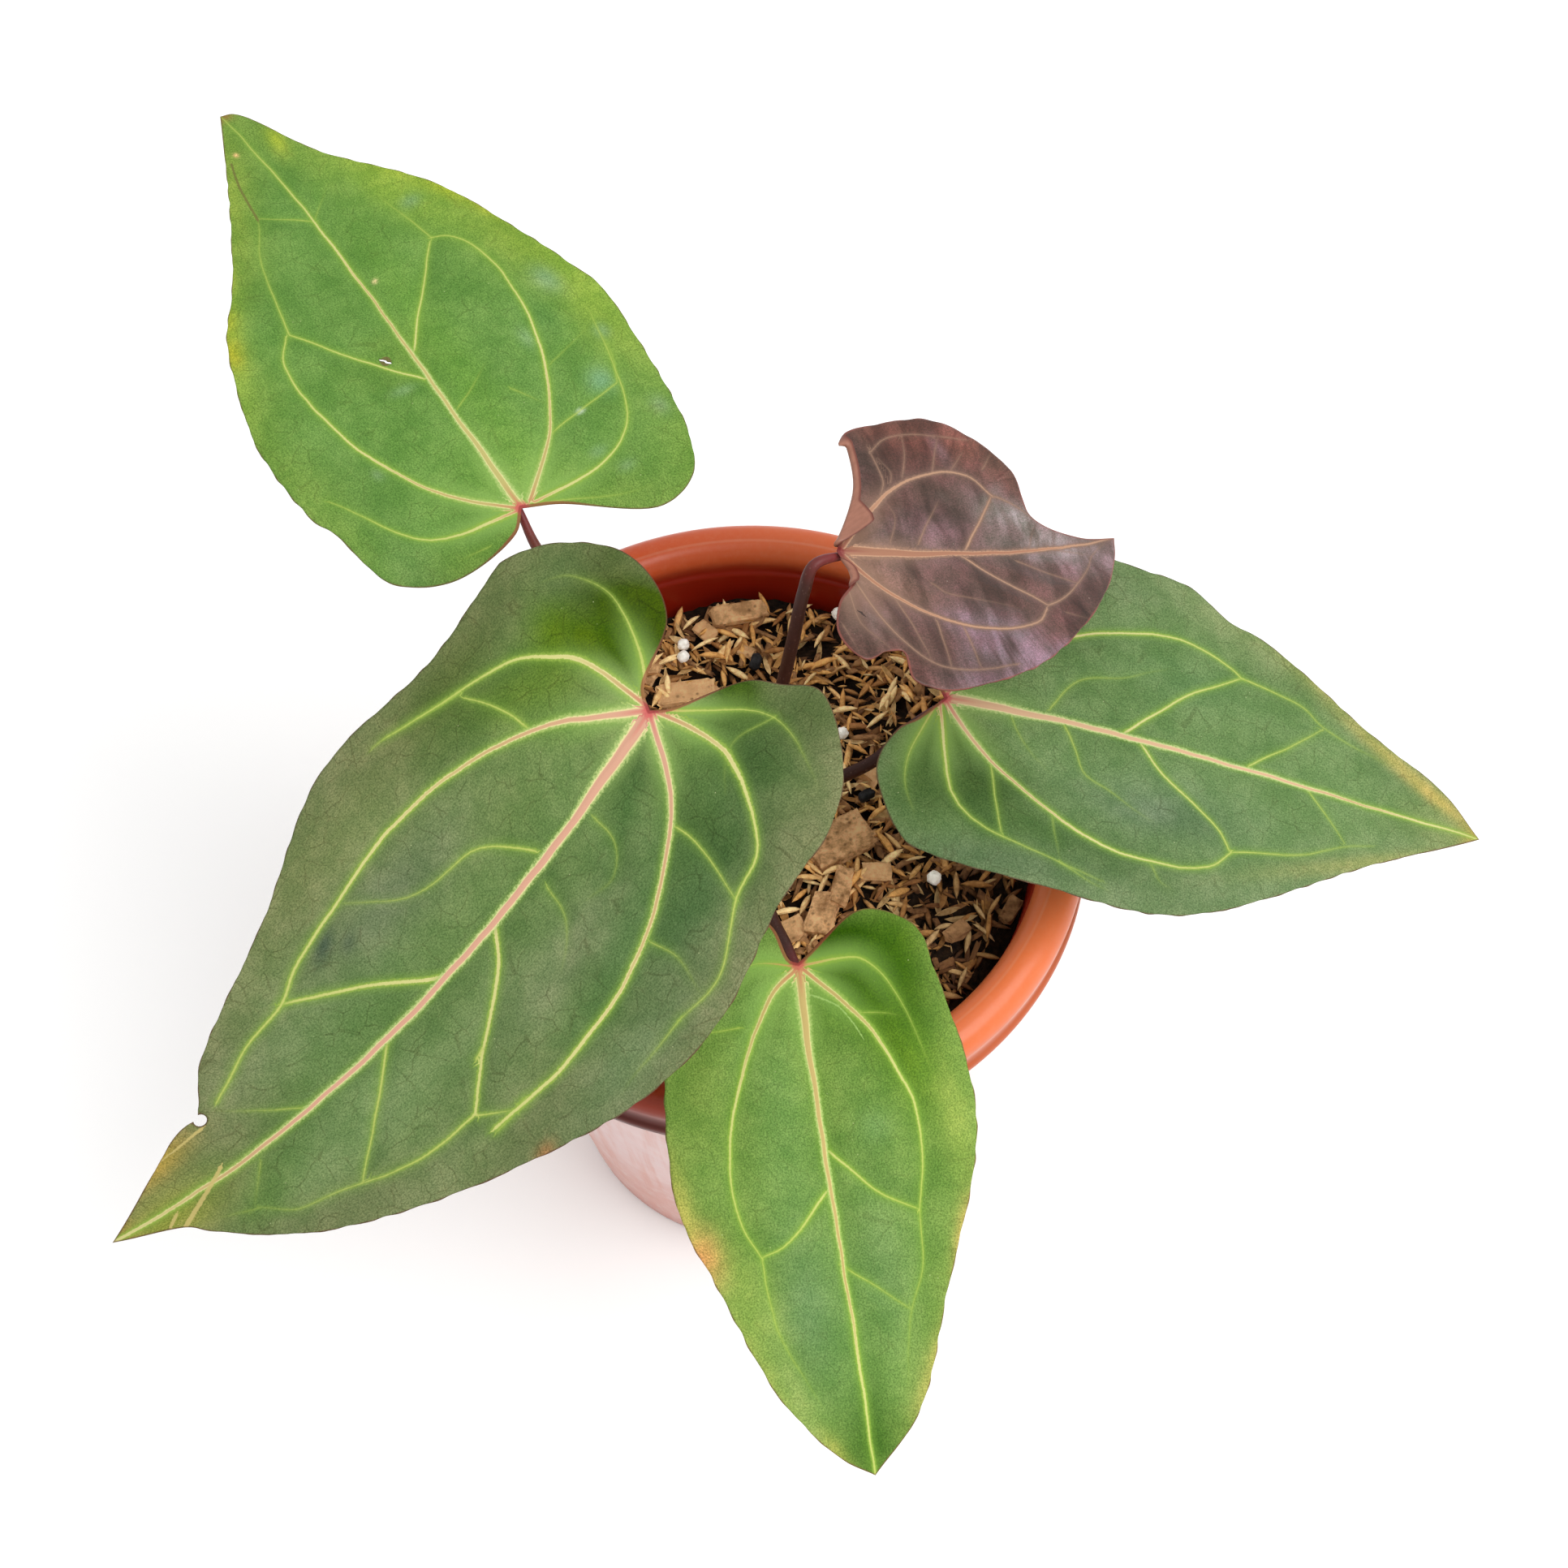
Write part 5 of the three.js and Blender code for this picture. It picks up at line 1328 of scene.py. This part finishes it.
def make_bed(random):
    """The dark crumb under the husks, partly its own colour and partly painted shade in the gaps between them:
    rings of points at the mix's level less a little, with random crumbs, closed by a wall and a floor inside
    the pot."""
    reach = inner_radius(MIX_LEVEL) - MIX_CLEAR
    radius = np.sqrt(np.linspace(0.0001, 1, BED_RINGS)) * reach
    angle = np.linspace(0, 2 * np.pi, BED_SEGMENTS, endpoint=False)
    x, y = radius[:, None] * np.cos(angle), radius[:, None] * np.sin(angle)
    z = mix_level(x, y) - 2.2 + random.normal(0, 0.45, x.shape)
    wall = [(inner_radius(h) - MIX_CLEAR, h) for h in (160.0, 90.0, 8.0)] + [(BASE_RADIUS - 10, WALL + 0.4)]
    sides = [np.stack([r * np.cos(angle), r * np.sin(angle), h + 0 * angle], axis=-1) for r, h in wall]
    points = np.vstack([np.stack([x, y, z], axis=-1), np.array(sides)])
    index = np.arange(len(points) * BED_SEGMENTS).reshape(len(points), BED_SEGMENTS)[::-1]
    points, faces = closed_rings(points.reshape(-1, 3), index)
    # Near black: partly the crumb's own dark colour and partly painted shade in the gaps between the husks.
    material = plain_grit_finish("dark_crumb_and_gap_shade", tint(70, 48, 32), tint(20, 14, 10), 420, 0.95)
    make_piece("mix_bed", points, faces, ["potting_mix"], material)


def about_z(angle):
    """A turn about the upright axis."""
    c, n = math.cos(angle), math.sin(angle)
    return np.array([[c, -n, 0], [n, c, 0], [0, 0, 1]])


def turns(random, count, tilt):
    """Random turns: any heading, tipped and rolled by up to tilt radians."""
    yaw = random.uniform(0, 2 * np.pi, count)
    tip, lean = random.uniform(-tilt, tilt, (2, count))
    one, none = np.ones(count), np.zeros(count)
    yawed = np.array([[np.cos(yaw), -np.sin(yaw), none], [np.sin(yaw), np.cos(yaw), none], [none, none, one]])
    tipped = np.array([[np.cos(tip), none, np.sin(tip)], [none, one, none], [-np.sin(tip), none, np.cos(tip)]])
    rolled = np.array([[one, none, none], [none, np.cos(lean), -np.sin(lean)],
                       [none, np.sin(lean), np.cos(lean)]])
    return np.einsum("ijn,jkn,kln->nil", yawed, tipped, rolled)


def scatter_places(random, count, margin):
    """Even random places on the mix, clear of the pot's wall and the stem."""
    reach = inner_radius(MIX_LEVEL + 3) - margin
    radius = reach * np.sqrt(random.uniform(0, 1, count))
    angle = random.uniform(0, 2 * np.pi, count)
    x, y = radius * np.cos(angle), radius * np.sin(angle)
    away = np.hypot(x - STEM_CENTRE[0], y - STEM_CENTRE[1])
    push = np.maximum(STEM_CLEAR - away, 0) / np.maximum(away, 1)
    return x + (x - STEM_CENTRE[0]) * push, y + (y - STEM_CENTRE[1]) * push


def husk_shape(rings, arc):
    """One husk, a unit long: a boat with pointed ends whose section is a crescent. The half width follows the
    sine of the way along to the power 0.7; the hollow face lies a little inside the round one."""
    t = np.linspace(0, 1, rings)
    half = 0.108 * np.sin(np.pi * t) ** 0.7 + 0.002
    rise = 0.05 * np.sin(np.pi * t)
    outer = np.linspace(-1.35, 1.35, arc)
    inner = np.linspace(1.15, -1.15, arc - 1)
    cross = [(math.sin(a), math.cos(a)) for a in outer]
    cross = np.array(cross + [(0.86 * math.sin(a), 0.6 * math.cos(a)) for a in inner])
    points = np.stack([np.repeat(t[:, None] - 0.5, len(cross), axis=1), half[:, None] * cross[:, 0],
                       half[:, None] * cross[:, 1] * 0.9 + rise[:, None]], axis=-1)
    index = np.arange(rings * len(cross)).reshape(rings, len(cross))
    ends = [np.stack([np.full(len(row) - 2, row[0]), row[1:-1], row[2:]], axis=1)
            for row in (index[0], index[-1])]
    hollow = np.tile(np.r_[np.zeros(arc), np.ones(arc - 1)], rings)
    ribs = np.tile(cross[:, 0], rings)
    return points.reshape(-1, 3), np.vstack([ring_triangles(index), ends[0], ends[1][:, ::-1]]), ribs, hollow


def make_husks(name, random, count, size, layers, material, rings=6, arc=4):
    """Many husks heaped at random: each is the same boat, stretched, turned and laid at the mix's level plus
    a random height in the heap, more of them with the hollow side down."""
    shape, faces, ribs, hollow = husk_shape(rings, arc)
    x, y = scatter_places(random, count, 4.5)
    length = random.uniform(*size, count)
    width = length * random.uniform(0.8, 1.25, count)
    flip = np.where(random.uniform(0, 1, count) < 0.3, -1.0, 1.0)
    body = shape[None] * np.stack([length, width * flip, width * flip], axis=1)[:, None]
    bend = random.uniform(-0.012, 0.02, count)
    body[..., 2] -= bend[:, None] * body[..., 0] ** 2
    body = np.einsum("nij,nkj->nki", turns(random, count, 0.42), body)
    heap = random.uniform(*layers, count)
    body += np.stack([x, y, mix_level(x, y) + heap], axis=1)[:, None]
    index = faces[None] + (np.arange(count) * len(shape))[:, None, None]
    piece = make_piece(name, body.reshape(-1, 3), index.reshape(-1, 3), (), material)
    tone = np.clip(random.normal(0.5, 0.33, count) + 0.06 * heap, 0, 1)
    rows = np.stack([np.repeat(tone, len(shape)), np.tile(ribs, count), np.tile(hollow, count)], axis=1)
    put_attribute(piece, "husk", rows)


def lump_shape(rings, segments, box, random, uneven):
    """A rounded block: a sphere pushed towards a box by raising its coordinates to a power, with random
    dents."""
    turn = np.linspace(0, 2 * np.pi, segments, endpoint=False)
    polar, around = np.meshgrid(np.linspace(0, np.pi, rings), turn, indexing="ij")
    flat = np.stack([np.sin(polar) * np.cos(around), np.sin(polar) * np.sin(around), np.cos(polar)], axis=-1)
    flat[[0, -1], :, :2] = 0
    point = np.sign(flat) * np.abs(flat) ** box
    dents = 1 + random.normal(0, uneven, polar.shape)
    dents[0], dents[-1] = dents[0, 0], dents[-1, 0]
    return (point * dents[..., None]).reshape(-1, 3)


def make_lumps(name, random, places, sizes, tilt, sink, material, box=0.6, uneven=0.08, rings=9, segments=12,
               smooth=True):
    """Loose lumps at the given places, each its own rounded block of the given three sizes, sunk a little. A
    place is x, y and a heading, or None for any heading."""
    blocks, faces, rows = [], [], []
    cells = ring_triangles(np.arange(rings * segments).reshape(rings, segments))
    for (x, y, heading), size, turn in zip(places, sizes, turns(random, len(places), tilt)):
        block = lump_shape(rings, segments, box, random, uneven) * (np.array(size) / 2)
        length = block[:, 0]
        if heading is not None:
            turn = turns(random, 1, tilt)[0]
            turn = about_z(math.radians(heading) - math.atan2(turn[1, 0], turn[0, 0])) @ turn
        tone = np.full(len(block), random.uniform(0, 1))
        faces.append(cells + len(blocks) * len(block))
        blocks.append(block @ turn.T + [x, y, mix_level(x, y) + size[2] / 2 - sink])
        rows.append(np.stack([tone, length, tone], axis=1))
    points = np.vstack(blocks)
    kept, faces = weld(points, np.vstack(faces))
    piece = make_piece(name, points[kept], faces, (), material, smooth)
    put_attribute(piece, "chip", np.vstack(rows)[kept])


def loose_places(random, count, margin):
    """Random places for lumps, each with any heading."""
    return [(x, y, None) for x, y in zip(*scatter_places(random, count, margin))]


def random_sizes(random, count, *spans):
    """Three random sizes for each lump, each from its own span."""
    return [[random.uniform(*span) for span in spans] for _ in range(count)]


def heap_husks(random):
    """Brown husks below, golden husks on top, and crumbs of husk between them."""
    golden = husk_finish("rice_husk", shaded_tint(255, 224, 166), shaded_tint(234, 178, 106),
                         shaded_tint(158, 108, 62))
    brown = husk_finish("rice_husk_brown", shaded_tint(214, 164, 108), shaded_tint(170, 122, 74),
                        shaded_tint(112, 76, 46))
    make_husks("husks_low", random, 900, (6.0, 9.0), (-1.8, 0.2), brown, rings=5)
    make_husks("husks_top", random, 1250, (6.4, 9.8), (-0.6, 2.4), golden)
    make_husks("husk_crumbs", random, 1100, (2.2, 4.8), (-1.2, 2.4), golden, rings=4, arc=3)


def lay_bark(random):
    """Splinters, loose chips, and the larger pieces that show between the leaves."""
    bark = chip_finish("bark", shaded_tint(238, 190, 138), shaded_tint(150, 106, 68))
    flakes = chip_finish("bark_flakes", shaded_tint(184, 136, 92), shaded_tint(104, 70, 44))
    places = loose_places(random, 420, 6)
    sizes = random_sizes(random, 420, (3.5, 10), (0.9, 2.4), (0.5, 1.0))
    make_lumps("flakes", random, places, sizes, 0.6, -0.4, flakes, box=0.45, uneven=0.12, rings=7, segments=10)
    places = loose_places(random, 24, 8)
    sizes = random_sizes(random, 24, (6, 12), (3, 6), (1.2, 2.4))
    make_lumps("bark_chips", random, places, sizes, 0.4, -0.6, bark, box=0.3, uneven=0.11, smooth=False)
    places = [(25.0, -3.0, 30), (20.0, -27.0, 75), (11.5, -31.0, 20), (25.5, -18.5, 78), (-4.0, 71.5, 12),
              (-19.0, 45.0, 10), (73.0, -24.0, 60)]
    sizes = [(19, 13, 3.5), (13, 7.5, 4), (8, 7, 3.5), (12, 5, 4), (16, 6, 3), (17, 7, 3), (8, 4, 2.5)]
    make_lumps("bark_pieces", random, places, sizes, 0.2, -0.6, bark, box=0.26, uneven=0.06, rings=13,
               segments=18, smooth=False)


def lay_charcoal(random):
    """Three bits of charcoal."""
    coal = plain_grit_finish("charcoal", tint(70, 68, 70), tint(18, 17, 18), 300, 0.7)
    places = [(1.1, 56.3, 70), (33.0, 12.0, 20), (-40.0, -30.0, 0)]
    make_lumps("charcoal_bits", random, places, [(5, 3.4, 2.4), (5, 3, 2.4), (6, 4, 3)], 0.3, -1.0, coal)


def lay_perlite(random):
    """White beads, each about as high as it is wide."""
    foam = plain_grit_finish("perlite", shaded_tint(246, 244, 240), shaded_tint(214, 208, 200), 900, 0.9)
    places = [(-20.1, 61.0), (-20.0, 56.6), (26.2, 31.0), (51.6, -15.0), (25.5, 72.0), (-50.0, 8.0),
              (62.0, 20.0), (-20.0, -58.0), (-44.0, -20.0), (2.0, -66.0)]
    places = [(x, y, None) for x, y in places]
    sizes = [(random.uniform(3.2, 4.4),) * 3 for _ in places]
    make_lumps("perlite_beads", random, places, sizes, 0.5, -1.2, foam, box=0.9, uneven=0.05, rings=12,
               segments=16)


def make_mix():
    """The bed and all that lies on it, in one run of random draws."""
    random = np.random.default_rng(MIX_SEED)
    make_bed(random)
    heap_husks(random)
    lay_bark(random)
    lay_charcoal(random)
    lay_perlite(random)


# Stage

def make_floor():
    """A wide plain pale floor, a flat square of four corners."""
    material = Finish("pale_floor").surface(Base_Color=(0.93, 0.93, 0.93, 1), Roughness=0.9,
                                            Specular_IOR_Level=0.1)
    h = FLOOR_HALF
    mesh = bpy.data.meshes.new("floor")
    mesh.from_pydata([(-h, -h, 0), (h, -h, 0), (h, h, 0), (-h, h, 0)], [], [(0, 1, 2, 3)])
    mesh.materials.append(material)
    floor = bpy.data.objects.new("floor", mesh)
    bpy.context.scene.collection.objects.link(floor)


def make_light(name, place, size, power):
    """A square soft light that faces the plant."""
    lamp = bpy.data.lights.new(name, "AREA")
    lamp.size = size
    lamp.energy = power
    light = bpy.data.objects.new(name, lamp)
    bpy.context.scene.collection.objects.link(light)
    light.location = place
    light.rotation_euler = (Vector(LIGHT_TARGET) - Vector(place)).to_track_quat("-Z", "Y").to_euler()


def make_stage():
    """Plain white surroundings, the floor, a softbox from the right and a weak fill from the left."""
    scene = bpy.context.scene
    scene.view_settings.view_transform = "Standard"
    world = bpy.data.worlds.new("studio")
    world.use_nodes = True
    background = world.node_tree.nodes["Background"]
    background.inputs["Color"].default_value = (1, 1, 1, 1)
    background.inputs["Strength"].default_value = WORLD_LIGHT
    scene.world = world
    make_floor()
    make_light("softbox", (0.8, -0.4, 1.4), 1.1, 18.0)
    make_light("fill", (-1.0, 0.5, 1.3), 1.2, 3.0)


def make_camera():
    """The photograph's view: from the front, high above, at a distance that gives its frame."""
    rise = math.radians(CAMERA_RISE)
    x, y, z = CAMERA_TARGET
    data = bpy.data.cameras.new("camera")
    data.sensor_width = SENSOR
    data.lens = SENSOR / 2 / math.tan(math.radians(CAMERA_FIELD / 2))
    camera = bpy.data.objects.new("camera", data)
    bpy.context.scene.collection.objects.link(camera)
    camera.location = (x, y - CAMERA_AWAY * math.cos(rise), z + CAMERA_AWAY * math.sin(rise))
    camera.rotation_euler = (math.pi / 2 - rise, 0, 0)
    bpy.context.scene.camera = camera


make_camera()
make_stage()
make_pot()
make_mix()
make_stem()
stalk_skin = stalk_finish()
for each in LEAVES:
    make_blade(each)
    make_stalk(each, stalk_skin)
